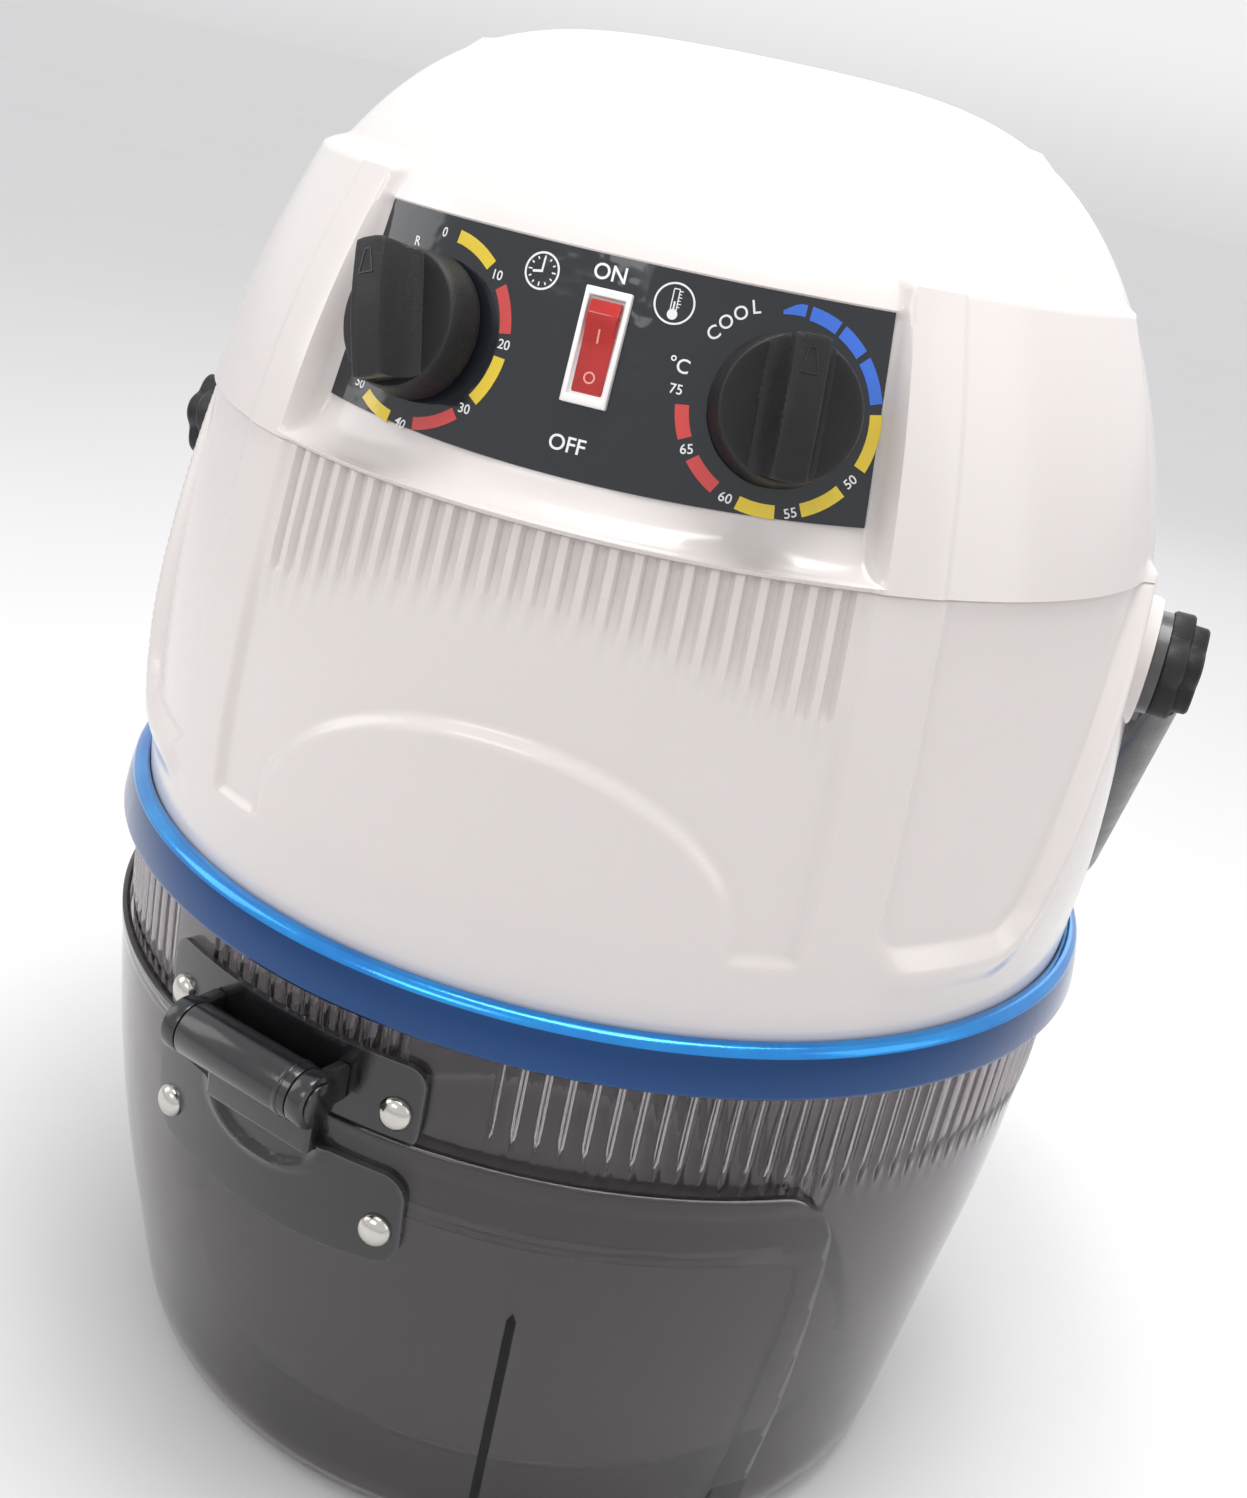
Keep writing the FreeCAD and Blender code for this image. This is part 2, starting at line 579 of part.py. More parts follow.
def fork_tube():
    """The fork's bent tube in its own plane: two arms, two corners and the bar at the back."""
    wide, corner = size("fork_half_width"), size("fork_corner")
    reach, radius = size("fork_reach"), size("fork_tube_radius")
    start = 26.0
    bar = Part.makeCylinder(radius, 2 * (wide - corner), Vector(corner - wide, reach, 0),
                            Vector(1, 0, 0))
    pieces = []
    for side in (-1, 1):
        pieces.append(Part.makeCylinder(radius, reach - corner - start,
                                        Vector(side * wide, start, 0), Vector(0, 1, 0)))
        bend = Part.makeTorus(corner, radius, Vector(), Vector(0, 0, 1), 0, 360, 90)
        bend.rotate(Vector(), Vector(0, 0, 1), 0 if side > 0 else 90)
        bend.translate(Vector(side * (wide - corner), reach - corner, 0))
        pieces.append(bend)
    return bar.fuse(pieces)


def fork():
    """Bent steel tube with flattened eyes, the cast boss at its middle, and the stand's stem."""
    fall = size("fork_fall")
    lean = Placement(ring_centre() + Vector(0, 0, size("pivot_height")),
                     Rotation(Vector(1, 0, 0), -fall))
    tube = fork_tube()
    eyes = []
    inner = size("pad_face + eye_gap")
    for side in (-1, 1):
        disc = Part.makeCylinder(size("eye_radius"), size("eye_thickness"),
                                 Vector(side * inner, 0, 0), Vector(side, 0, 0))
        low, high = sorted((side * (inner + size("strap_inset")), side * (inner + size("eye_thickness"))))
        strap = Part.makeBox(high - low, size("strap_length"), size("strap_width"),
                             Vector(low, 0, -size("strap_width") / 2))
        eyes += [disc, strap]
    solid = tube.fuse(eyes)
    for side in (-1, 1):
        solid = solid.cut(Part.makeCylinder(size("stud_radius + running_gap"), 40,
                                            Vector(side * 170, 0, 0), Vector(side, 0, 0)))
    tube_part = doc.addObject("Part::Feature", "fork_bent")
    tube_part.Shape = solid.removeSplitter()
    tube_part.Placement = lean
    keep(tube_part, "fork_tube")
    boss = cylinder("boss_turned", "boss_radius", "boss_drop + 12")
    channel = cylinder("boss_channel", "fork_tube_radius", "80", ("-40", "0", "boss_drop"),
                       (Vector(0, 1, 0), 90))
    keep(cut("boss_grooved", boss, [channel]), "stem_boss")
    stem = cylinder("stem_turned", "stem_radius", "stem_length", ("0", "0", "-stem_length"))
    keep(stem, "stand_stem")


# ---------------------------------------------------------------- air path

def air_bowl():
    """Perforated inner bowl that spreads the warm air over the head."""
    skins = []
    for name, inset in (("outside", "0"), ("inside", "bowl_wall")):
        radius = "(bowl_radius * bowl_radius + bowl_height * bowl_height) / (2 * bowl_height)"
        ball = doc.addObject("Part::Sphere", f"bowl_{name}")
        bind(ball, Radius=f"{radius} - {inset}")
        ball.Placement.Base = Vector(0, 0, size(f"bowl_height - {radius}"))
        skins.append(ball)
    below = box("bowl_below", "400", "400", "300", ("0", "0", "-301"))
    body = cut("bowl_skin", skins[0], [skins[1], below])
    flange = cut("bowl_flange", cylinder("flange_disc", "bowl_radius + 20", "2.7", ("0", "0", "-2.8")),
                 [cylinder("flange_middle", "bowl_radius - bowl_wall - 2", "10", ("0", "0", "-5"))])
    holes = []
    for count, reach in ((6, 32), (12, 66), (18, 98), (24, 128)):
        for number in range(count):
            hole = cylinder(f"bowl_hole_{reach}_{number}", "bowl_hole_radius", "120")
            hole.Placement = at_angle(reach, -10, 360 * number / count)
            holes.append(hole)
    pierced = cut("bowl_pierced", body, holes)
    return keep(fuse("bowl_with_flange", [pierced, flange]), "air_bowl", CASING)


def heater():
    """Heater in its metal shroud: crossed mica former, three turns of element, thermal cut-out."""
    ring_part("Shroud", [
        ("shroud_radius", "shroud_bottom"), ("shroud_radius + shroud_wall", "shroud_bottom"),
        ("shroud_radius + shroud_wall", "shroud_top"), ("shroud_radius", "shroud_top")],
        "heater_shroud")
    plate = cylinder("baffle_disc", "belly_radius - casing_wall - 5", "1.6", ("0", "0", "baffle_height"))
    middle = cylinder("baffle_middle", "shroud_radius + shroud_wall", "10",
                      ("0", "0", "baffle_height - 4"))
    lead_hole = cylinder("baffle_lead_hole", "lead_radius + 2", "10",
                         ("-block_reach", "0", "baffle_height - 4"))
    notches = [box(f"baffle_notch_{side + 1}", "54", "30", "10",
                   ("0", f"{side} * 178", "baffle_height - 4")) for side in (-1, 1)]
    keep(cut("baffle_pierced", plate, [middle, lead_hole] + notches), "baffle_plate", CASING)
    arms = [box(f"former_arm_{step}", "2 * (coil_radius - coil_wire) - 0.4", "1.5", "former_height",
                ("0", "0", "former_bottom"), (Vector(0, 0, 1), 45 * step)) for step in range(4)]
    hub = cylinder("former_hub", "12", "former_height", ("0", "0", "former_bottom"))
    keep(fuse("former_solid", arms + [hub]), "heater_former", CASING)
    rings = []
    for turn in range(4):
        coil = doc.addObject("Part::Torus", f"coil_{turn}")
        bind(coil, Radius1="coil_radius", Radius2="coil_wire")
        coil.Placement.Base = Vector(0, 0, size("former_bottom") + 5 + 10 * turn)
        rings.append(coil)
    keep(fuse("coil_set", rings), "heater_coil", CASING)
    cutout = cylinder("cutout_can", "8", "6")
    cutout.Placement = at_angle(size("shroud_radius + shroud_wall"), 125, 120, OUTWARD)
    keep(cutout, "thermal_cutout", CASING)


def fan_unit():
    """Motor on its spider above the shroud, with the fan on its shaft inside the shroud."""
    spider = [box(f"spider_arm_{step}", "2 * shroud_radius + 2 * shroud_wall", "14", "5",
                  ("0", "0", "shroud_top"), (Vector(0, 0, 1), 60 * step)) for step in range(3)]
    spider.append(cylinder("spider_disc", "motor_radius + 4", "5", ("0", "0", "shroud_top")))
    passage = cylinder("spider_passage", "10", "20", ("0", "0", "shroud_top - 5"))
    keep(cut("spider_pierced", fuse("spider_solid", spider), [passage]), "motor_mount", CASING)
    can = fuse("motor_solid", [
        cylinder("motor_can", "motor_radius", "motor_length", ("0", "0", "motor_bottom")),
        cylinder("motor_nose", "9", "motor_length + 12", ("0", "0", "motor_bottom - 2"))])
    bore = cylinder("motor_bore", "shaft_radius + running_gap", "motor_length + 6",
                    ("0", "0", "motor_bottom - 4"))
    keep(cut("motor_bored", can, [bore]), "motor", CASING)
    shaft = cylinder("motor_shaft_turned", "shaft_radius", "motor_bottom + motor_length - 8 - fan_bottom",
                     ("0", "0", "fan_bottom"))
    keep(shaft, "motor_shaft", CASING)
    blades = []
    for step in range(8):
        blade = box(f"fan_blade_{step}", "fan_radius - 16", "2", "24")
        tilt = Placement(Vector(14 + (size("fan_radius") - 16) / 2, 0, 0), Rotation(Vector(1, 0, 0), 50))
        blade.Placement = at_angle(0, size("fan_bottom + fan_width / 2 - 7"), 45 * step).multiply(
            tilt).multiply(blade.Placement)
        blades.append(blade)
    hub = cylinder("fan_hub", "17", "fan_width", ("0", "0", "fan_bottom"))
    seat = cylinder("fan_seat", "shaft_radius", "fan_width", ("0", "0", "fan_bottom"))
    keep(cut("fan_bored", fuse("fan_solid", blades + [hub]), [seat]), "fan_impeller", CASING)


def filter_screen():
    """Lint screen in its frame behind the air inlets at the back of the cover."""
    body = new_body("Screen")
    low, high = 162.0, 202.0
    inset = size("casing_wall") + 2.5
    corners = [(str(dome_radius(low, inset)), str(low)), (str(dome_radius(high, inset)), str(high)),
               (str(dome_radius(high, inset) - 1.6), str(high)),
               (str(dome_radius(low, inset) - 1.6), str(low))]
    spin(body, outline(body, "screen_outline", corners), "screen_turned", "60")
    return keep(body, "filter_screen", REAR)


# ---------------------------------------------------------------- wiring

def wiring():
    """Cable gland, terminal block, and the leads inside the casing."""
    gland = [cylinder("gland_barrel", "gland_radius - 2.1", "14", ("0", "0", "-6")),
             cylinder("gland_flange", "gland_radius + 3", "4", ("0", "0", "5.5"))]
    bore = cylinder("gland_bore", "cable_radius", "30", ("0", "0", "-8"))
    at_back = REAR.multiply(at_angle(size("belly_radius") - 5, size("block_height"), 0, OUTWARD))
    keep(cut("gland_bored", fuse("gland_solid", gland), [bore]), "cord_gland", at_back)
    block = box("block_case", "16", "44", "18", ("block_reach", "0", "block_height - 9"))
    keep(block, "terminal_block", REAR)
    reach, bend, top = size("block_reach"), size("lead_bend"), size("lead_top")
    start = size("block_height") + 9
    inner = size("motor_radius")
    slant = bend * (1 - math.sqrt(0.5))
    rise = [Vector(reach, 0, start), Vector(reach, 0, top - bend)]
    middle = Vector(reach - slant, 0, top - slant)
    across = [Vector(reach - bend, 0, top), Vector(inner, 0, top)]
    path = Part.Wire([Part.LineSegment(*rise).toShape(), Part.Arc(rise[1], middle, across[0]).toShape(),
                      Part.LineSegment(*across).toShape()])
    section = Part.Wire(Part.Circle(rise[0], Vector(0, 0, 1), size("lead_radius")).toShape())
    lead = doc.addObject("Part::Feature", "lead_swept")
    lead.Shape = path.makePipeShell([section], True, False)
    keep(lead, "motor_lead", REAR)


def check_and_export():
    """Stop at any failed object or bad solid, then write each sub-part to its own file."""
    doc.recompute()
    for item in doc.Objects:
        if "Invalid" in item.State or "Error" in item.State:
            raise RuntimeError(f"{item.Name} failed: {item.State}")
    os.makedirs("parts", exist_ok=True)
    for item in parts:
        if item.Shape.isNull() or not item.Shape.isValid() or item.Shape.Volume <= 0:
            raise RuntimeError(f"{item.Label} is not a valid solid")
        item.Shape.exportStep(f"parts/{item.Label}.step")
        limits = item.Shape.BoundBox
        print(f"{item.Label:22s} solids {len(item.Shape.Solids):2d} volume {item.Shape.Volume / 1000:8.1f} cm3",
              f"x {limits.XMin:7.1f} {limits.XMax:7.1f} y {limits.YMin:7.1f} {limits.YMax:7.1f}",
              f"z {limits.ZMin:7.1f} {limits.ZMax:7.1f}")


upper_cover()
lower_casing()
trim_ring()
control_panel()
casing_screws()
spindle_control("timer", -size("dial_azimuth"), size("timer_rest"))
spindle_control("temperature", size("dial_azimuth"), 0)
rocker_switch()
hood_shell()
visor()
hinge()
pivots()
fork()
air_bowl()
heater()
fan_unit()
filter_screen()
wiring()
check_and_export()
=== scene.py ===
import math

import bmesh
import bpy
from mathutils import Matrix, Vector


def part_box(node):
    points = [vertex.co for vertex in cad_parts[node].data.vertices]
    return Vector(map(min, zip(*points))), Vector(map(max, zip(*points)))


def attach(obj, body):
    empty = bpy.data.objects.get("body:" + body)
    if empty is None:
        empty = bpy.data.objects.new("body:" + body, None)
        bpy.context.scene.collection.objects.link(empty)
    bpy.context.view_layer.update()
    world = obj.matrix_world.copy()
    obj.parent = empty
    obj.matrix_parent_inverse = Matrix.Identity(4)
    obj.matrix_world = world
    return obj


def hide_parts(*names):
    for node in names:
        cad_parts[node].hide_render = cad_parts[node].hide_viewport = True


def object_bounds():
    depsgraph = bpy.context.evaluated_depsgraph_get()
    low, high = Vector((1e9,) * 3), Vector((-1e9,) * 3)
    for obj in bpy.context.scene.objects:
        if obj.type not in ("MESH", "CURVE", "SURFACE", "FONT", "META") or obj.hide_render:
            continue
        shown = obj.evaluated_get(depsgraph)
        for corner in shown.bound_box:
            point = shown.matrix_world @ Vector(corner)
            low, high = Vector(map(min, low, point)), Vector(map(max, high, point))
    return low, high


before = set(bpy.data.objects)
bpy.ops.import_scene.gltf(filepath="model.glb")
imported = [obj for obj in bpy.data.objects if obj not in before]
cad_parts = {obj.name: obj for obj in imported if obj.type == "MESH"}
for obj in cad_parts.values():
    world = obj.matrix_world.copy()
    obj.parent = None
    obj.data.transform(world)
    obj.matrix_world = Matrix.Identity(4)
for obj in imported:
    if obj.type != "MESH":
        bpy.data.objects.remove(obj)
cad_low, cad_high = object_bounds()

# ------ the room
# A pale seamless table under a light tent: one broad lamp overhead, one at each side
# and a weak one in front. The camera stands in front of the dials and a little above.

MM = 0.001
ring_low, ring_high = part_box("trim_ring")
ring_middle = Vector((0, (ring_low.y + ring_high.y) / 2, ring_high.z))
on_casing = Matrix.Translation(ring_middle) @ Matrix.Scale(MM, 4)


def set_inputs(node, **values):
    """Sets a node's inputs; an underscore stands for the space in an input's name."""
    for name, value in values.items():
        node.inputs[name.replace("_", " ")].default_value = value


def noise_into(nodes, links, scale, detail, low, high, socket, stretch=(1, 1, 1)):
    """Feeds a socket from a noise on the piece, between a low and a high value."""
    where = nodes.new("ShaderNodeTexCoord")
    spread = nodes.new("ShaderNodeMapping")
    set_inputs(spread, Scale=stretch)
    grain = nodes.new("ShaderNodeTexNoise")
    set_inputs(grain, Scale=scale, Detail=detail)
    span = nodes.new("ShaderNodeMapRange")
    set_inputs(span, From_Min=0.3, From_Max=0.7, To_Min=low, To_Max=high)
    links.new(where.outputs["Object"], spread.inputs["Vector"])
    links.new(spread.outputs["Vector"], grain.inputs["Vector"])
    links.new(grain.outputs["Fac"], span.inputs["Value"])
    links.new(span.outputs["Result"], socket)


def finish_of(name, tints, rough, patch=9.0, grain=900.0, depth=0.00002, stretch=(1, 1, 1),
              worn=None, **sockets):
    """A finish with two close tints in patches, uneven gloss, a fine grain and, if worn, pale edges."""
    made = bpy.data.materials.new(name)
    made.use_nodes = True
    nodes, links = made.node_tree.nodes, made.node_tree.links
    shader = nodes["Principled BSDF"]
    set_inputs(shader, **sockets)
    mix = nodes.new("ShaderNodeMix")
    mix.data_type = "RGBA"
    set_inputs(mix, A=(*tints[0], 1), B=(*tints[1], 1))
    noise_into(nodes, links, patch, 4, 0, 1, mix.inputs["Factor"], stretch)
    colour = mix.outputs["Result"]
    if worn:
        edge = nodes.new("ShaderNodeNewGeometry")
        keen = nodes.new("ShaderNodeMapRange")
        set_inputs(keen, From_Min=0.53, From_Max=0.62)
        rub = nodes.new("ShaderNodeMix")
        rub.data_type = "RGBA"
        set_inputs(rub, B=(*worn, 1))
        links.new(edge.outputs["Pointiness"], keen.inputs["Value"])
        links.new(keen.outputs["Result"], rub.inputs["Factor"])
        links.new(colour, rub.inputs["A"])
        colour = rub.outputs["Result"]
    links.new(colour, shader.inputs["Base Color"])
    noise_into(nodes, links, patch * 4, 5, rough[0], rough[1], shader.inputs["Roughness"], stretch)
    bump = nodes.new("ShaderNodeBump")
    set_inputs(bump, Strength=0.6, Distance=depth)
    noise_into(nodes, links, grain, 3, 0, 1, bump.inputs["Height"], stretch)
    links.new(bump.outputs["Normal"], shader.inputs["Normal"])
    return made


eye = ring_middle + Vector((0.1362, -0.63527, 0.26591))
pitch, heading, roll = (math.radians(a) for a in (20.647, 12.185, 11.779))
ahead = Vector((-math.sin(heading) * math.cos(pitch), math.cos(heading) * math.cos(pitch),
                -math.sin(pitch)))
level = Vector((math.cos(heading), math.sin(heading), 0))
upright = level.cross(ahead)
across = math.cos(roll) * level + math.sin(roll) * upright
upward = math.cos(roll) * upright - math.sin(roll) * level
camera = bpy.data.objects.new("camera", bpy.data.cameras.new("camera"))
camera.data.lens = 41.14
camera.data.sensor_width = 36
camera.matrix_world = Matrix.Translation(eye) @ Matrix((across, upward, -ahead)).transposed().to_4x4()
bpy.context.scene.collection.objects.link(camera)
bpy.context.scene.camera = camera

for name, spot, target, wide, high, power in (
        ("lamp_over", (0.1, -0.28, 1.25), (0, -0.25, 0.2), 0.75, 0.65, 12),
        ("lamp_left", (-1.5, -0.6, 0.9), (0, -0.3, 0.15), 0.7, 1.0, 4),
        ("lamp_right", (1.55, -0.45, 0.8), (0, -0.3, 0.15), 0.7, 1.0, 2),
        ("lamp_front", (-0.5, -1.7, 1.1), (0, -0.3, 0.2), 0.8, 0.5, 4),
        ("lamp_behind", (0.2, 1.7, 1.1), (0, -0.2, 0.15), 1.6, 1.0, 4)):
    lamp = bpy.data.lights.new(name, "AREA")
    lamp.shape = "RECTANGLE"
    lamp.size = wide
    lamp.size_y = high
    lamp.energy = power
    hung = bpy.data.objects.new(name, lamp)
    hung.location = spot
    hung.rotation_euler = (Vector(target) - Vector(spot)).to_track_quat("-Z", "Y").to_euler()
    bpy.context.scene.collection.objects.link(hung)

sky = bpy.data.worlds.new("tent")
bpy.context.scene.world = sky
sky.use_nodes = True
sky_nodes, sky_links = sky.node_tree.nodes, sky.node_tree.links
sky_way = sky_nodes.new("ShaderNodeTexCoord")
sky_split = sky_nodes.new("ShaderNodeSeparateXYZ")
sky_climb = sky_nodes.new("ShaderNodeMapRange")
sky_climb.interpolation_type = "SMOOTHSTEP"
set_inputs(sky_climb, From_Min=-0.03, From_Max=0.09)
sky_tint = sky_nodes.new("ShaderNodeMix")
sky_tint.data_type = "RGBA"
set_inputs(sky_tint, A=(0.62, 0.62, 0.63, 1), B=(0.81, 0.81, 0.82, 1))
sky_links.new(sky_way.outputs["Generated"], sky_split.inputs["Vector"])
sky_links.new(sky_split.outputs["Z"], sky_climb.inputs["Value"])
sky_links.new(sky_climb.outputs["Result"], sky_tint.inputs["Factor"])
sky_links.new(sky_tint.outputs["Result"], sky_nodes["Background"].inputs["Color"])
set_inputs(sky_nodes["Background"], Strength=1.1)
bpy.context.scene.view_settings.view_transform = "Standard"

table = bmesh.new()
bmesh.ops.create_grid(table, x_segments=8, y_segments=8, size=40)
bmesh.ops.translate(table, verts=table.verts, vec=(0, 0, cad_low.z - 0.001))
table_mesh = bpy.data.meshes.new("table")
table.to_mesh(table_mesh)
table_piece = bpy.data.objects.new("table", table_mesh)
table_mesh.materials.append(finish_of("table_paper", ((0.74, 0.738, 0.742), (0.725, 0.723, 0.728)),
                                      (0.7, 0.8), patch=2.0))
bpy.context.scene.collection.objects.link(table_piece)

# ------ lower casing
# The barrel of the casing: white ABS, injection moulded, 3 mm wall. Its front is a shallow
# field with an arch and fading flutes, and each side has a pocket with a rounded bead round it.

SEAM = 146.3
BARREL_FOOT = -2.6
LINING = 6.5
RIB_PITCH = 2.42
FIELD_DEEP = 2.8
ARCH_HALF, ARCH_FOOT, ARCH_RISE = 25.7, 28.9, 54.2
POCKET_PILLAR, POCKET_FLOOR, POCKET_CORNER, POCKET_DEEP = 40.6, 30.0, 12.0, 2.5
BEAD_CREST, BEAD_WIDE, BEAD_HIGH = 5.5, 18, 4.0
SIDE_MM_PER_DEGREE = 3.2
PIVOT_HEIGHT, PIVOT_ROOT = 111, 175.5


def rise(x, start, end):
    """0 before start, 1 after end, smooth between."""
    t = min(1.0, max(0.0, (x - start) / (end - start)))
    return t * t * (3 - 2 * t)


def smooth_line(points, x):
    """The value at x on a smooth line through points sorted by their first number."""
    last = len(points) - 1
    k = max(0, min(last - 1, sum(1 for p in points if p[0] <= x) - 1))
    (x0, y0), (x1, y1) = points[k], points[k + 1]
    before, after = points[max(k - 1, 0)], points[min(k + 2, last)]
    step = x1 - x0
    m0 = (y1 - before[1]) / (x1 - before[0]) * step
    m1 = (after[1] - y0) / (after[0] - x0) * step
    t = (x - x0) / step
    return ((2 * t ** 3 - 3 * t * t + 1) * y0 + (t ** 3 - 2 * t * t + t) * m0
            + (3 * t * t - 2 * t ** 3) * y1 + (t ** 3 - t * t) * m1)


BARREL = [(-3, 184.3), (2, 184.6), (18, 185.3), (32, 186.1), (55, 185.6), (78, 184.0), (110, 180.7),
          (134, 177.6), (SEAM, 175.8)]


def steps(start, end, count):
    """Evenly spaced heights, both ends among them."""
    return [start + (end - start) * k / count for k in range(count + 1)]


def around(radius, turn, height):
    """The point at a radius and a turn, in radians, round from the front."""
    return Vector((radius * math.sin(turn), -radius * math.cos(turn), height))


def turn_line(line, sectors, start=0.0):
    """Turns an open line of (radius, height) about the upright axis through (degrees, columns) sectors."""
    bm = bmesh.new()
    verts = [bm.verts.new(around(r, math.radians(start), z)) for r, z in line]
    moving = verts + [bm.edges.new(pair) for pair in zip(verts, verts[1:])]
    for degrees, columns in sectors:
        turned = bmesh.ops.spin(bm, geom=moving, cent=(0, 0, 0), axis=(0, 0, 1), dvec=(0, 0, 0),
                                angle=math.radians(degrees), steps=columns, use_merge=degrees == 360,
                                use_normal_flip=False, use_duplicate=False)
        moving = turned["geom_last"]
    bmesh.ops.remove_doubles(bm, verts=bm.verts, dist=0.004)
    bmesh.ops.recalc_face_normals(bm, faces=bm.faces)
    return bm


def whole_turn(line, columns):
    """A lathe-turned part: the line right round the axis."""
    return turn_line(line, [(360, columns)])


def make_piece(name, bm, place, body, materials, stands_for=(), crease=38):
    """Puts a finished mesh in the row frame, on its body, with its finish."""
    bm.transform(place)
    if place.determinant() < 0:
        bmesh.ops.reverse_faces(bm, faces=bm.faces)
    bm.normal_update()
    for edge in bm.edges:
        edge.smooth = edge.calc_face_angle(0) < math.radians(crease)
    for face in bm.faces:
        face.smooth = True
    mesh = bpy.data.meshes.new(name)
    bm.to_mesh(mesh)
    bm.free()
    for material in materials:
        mesh.materials.append(material)
    piece = bpy.data.objects.new(name, mesh)
    bpy.context.scene.collection.objects.link(piece)
    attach(piece, body)
    if stands_for:
        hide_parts(*stands_for)
    return piece


def join_in(bm, other, place=None):
    """Adds another bmesh to bm."""
    if place is not None:
        other.transform(place)
        if place.determinant() < 0:
            bmesh.ops.reverse_faces(other, faces=other.faces)
    carrier = bpy.data.meshes.new("carrier")
    other.to_mesh(carrier)
    other.free()
    bm.from_mesh(carrier)
    bpy.data.meshes.remove(carrier)


def azimuth_of(spot):
    """Degrees round from the front."""
    return math.degrees(math.atan2(spot.x, -spot.y))


def set_radius(vert, radius):
    """Moves a vertex level, out or in, to a radius."""
    scale = radius / math.hypot(vert.co.x, vert.co.y)
    vert.co.x *= scale
    vert.co.y *= scale


def inside_corner(corner, *gaps):
    """Millimetres inside an outline whose straight sides meet in a round corner."""
    return corner - math.hypot(*(max(0.0, corner - g) for g in gaps))


def bead_centre(height):
    """Degrees round to the middle of a pocket's slanting edge."""
    return 63.5 + 16.5 * max(0.0, (height - 34) / 113)


def pocket_gap(side, height):
    """Millimetres in from the edge of a side pocket, and in from its pillar."""
    from_pillar = (side - POCKET_PILLAR) * SIDE_MM_PER_DEGREE
    from_slant = (bead_centre(height) - 2.2 - side) * SIDE_MM_PER_DEGREE
    return inside_corner(POCKET_CORNER, from_pillar, from_slant, height - POCKET_FLOOR), from_pillar


def bead_height(side, height):
    """How far the rounded bead stands out, all along the pocket's floor and slanting edge."""
    gap, from_pillar = pocket_gap(side, height)
    if not -BEAD_WIDE < gap < 0:
        return 0.0
    low_part = 1 - 0.3 * (1 - rise(height, 18, 60))
    section = rise(-gap, 0, BEAD_CREST) * (1 - rise(-gap, BEAD_CREST, BEAD_WIDE))
    return BEAD_HIGH * low_part * section * rise(from_pillar, 2, 16)


def barrel_relief(azimuth, height):
    """How far the barrel's face stands out from its plain turned shape."""
    side = abs(azimuth)
    out = 0.0
    if side < 34:
        arch = math.hypot(side / ARCH_HALF, (height - ARCH_FOOT) / ARCH_RISE)
        within = (1 - rise(side, 32.0, 33.2)) * rise(height, 26.6, 30.2) * rise(arch, 0.972, 1.04)
        sag = (azimuth / 30) ** 2
        fade = rise(height, 110 - 21 * sag, 136 - 19 * sag)
        phase = abs(azimuth / RIB_PITCH - round(azimuth / RIB_PITCH))
        groove = rise(phase, 0.12, 0.38) * (1 - rise(side, 31.6, 32.2))
        deepest = 3.0 + 2.0 * rise(height, 104, 112)
        out -= within * min(deepest, FIELD_DEEP - 1.3 * fade + 3.0 * fade * groove)
    if side > 38:
        gap, _ = pocket_gap(side, height)
        out -= POCKET_DEEP * rise(gap, -0.6, 3.0) * (1 - 0.4 * rise(height, 120, SEAM))
        out += bead_height(side, height)
    return out


SECTORS = [(35 * RIB_PITCH, 210), (100 - 17.5 * RIB_PITCH, 124), (160, 256),
           (100 - 17.5 * RIB_PITCH, 124)]
FRONT_START = -17.5 * RIB_PITCH

outside = [(smooth_line(BARREL, z), z) for z in steps(BARREL_FOOT, SEAM - 1.1, 92)]
outside += [(175.7, SEAM - 0.6), (175.3, SEAM - 0.15), (174.6, SEAM - 0.1)]
inside = [(smooth_line(BARREL, z) - LINING, z) for z in (SEAM - 0.1, 120, 90, 60, 30, 6)]
barrel = turn_line(outside + inside + [(170, 6), (170, BARREL_FOOT), outside[0]], SECTORS, FRONT_START)
for vert in barrel.verts:
    radius = math.hypot(vert.co.x, vert.co.y)
    if radius > smooth_line(BARREL, min(vert.co.z, SEAM)) - 1.5:
        set_radius(vert, radius + barrel_relief(azimuth_of(vert.co), vert.co.z))
for side in (-1, 1):
    pad = whole_turn([(0, 8.4), (22.6, 8.4), (23.5, 8.1), (24, 7.2), (24.6, 4), (26.5, 1.2),
                      (26.5, -4), (0, -4)], 72)
    root = Matrix.Translation((side * PIVOT_ROOT, 0, PIVOT_HEIGHT))
    join_in(barrel, pad, root @ Matrix.Rotation(side * math.pi / 2, 4, "Y"))

white_abs = finish_of("white_casing_abs", ((0.655, 0.61, 0.59), (0.645, 0.60, 0.58)), (0.14, 0.24),
                      patch=5.0, grain=420.0, depth=0.000012, Specular_IOR_Level=0.5, Coat_Weight=0.25,
                      Coat_Roughness=0.12, Subsurface_Weight=0.06, Subsurface_Scale=0.004)
make_piece("casing_barrel", barrel, on_casing, "hood", [white_abs], ["lower_casing"])

# ------ upper cover
# The domed cover: white ABS, moulded in one with the dished window for the dials, the ledge under
# it, a pillar at each end and a block on each side. It sits on the barrel with a fine open seam.

TOP = 285.2
PANEL_LOW, PANEL_TOP = 163.5, 222.5
LIP, LIP_RADIUS, LEDGE_RADIUS = 147.9, 177.2, 161.7
BLOCK_TOP, BLOCK_BACK = 230.5, 77.5
INLET_PITCH, INLET_DEEP = 5, 5.0


def dome_radius(height):
    """The plain dome, full at the seam and closing at the crown."""
    t = min(1.0, max(0.0, (height - SEAM) / (TOP - SEAM)))
    return 175.8 * (1 - t ** 1.2) ** (1 / 3.83)


def panel_radius(height):
    """The cone that the control panel lies on."""
    return 162.4 - 0.22881 * (height - PANEL_LOW)


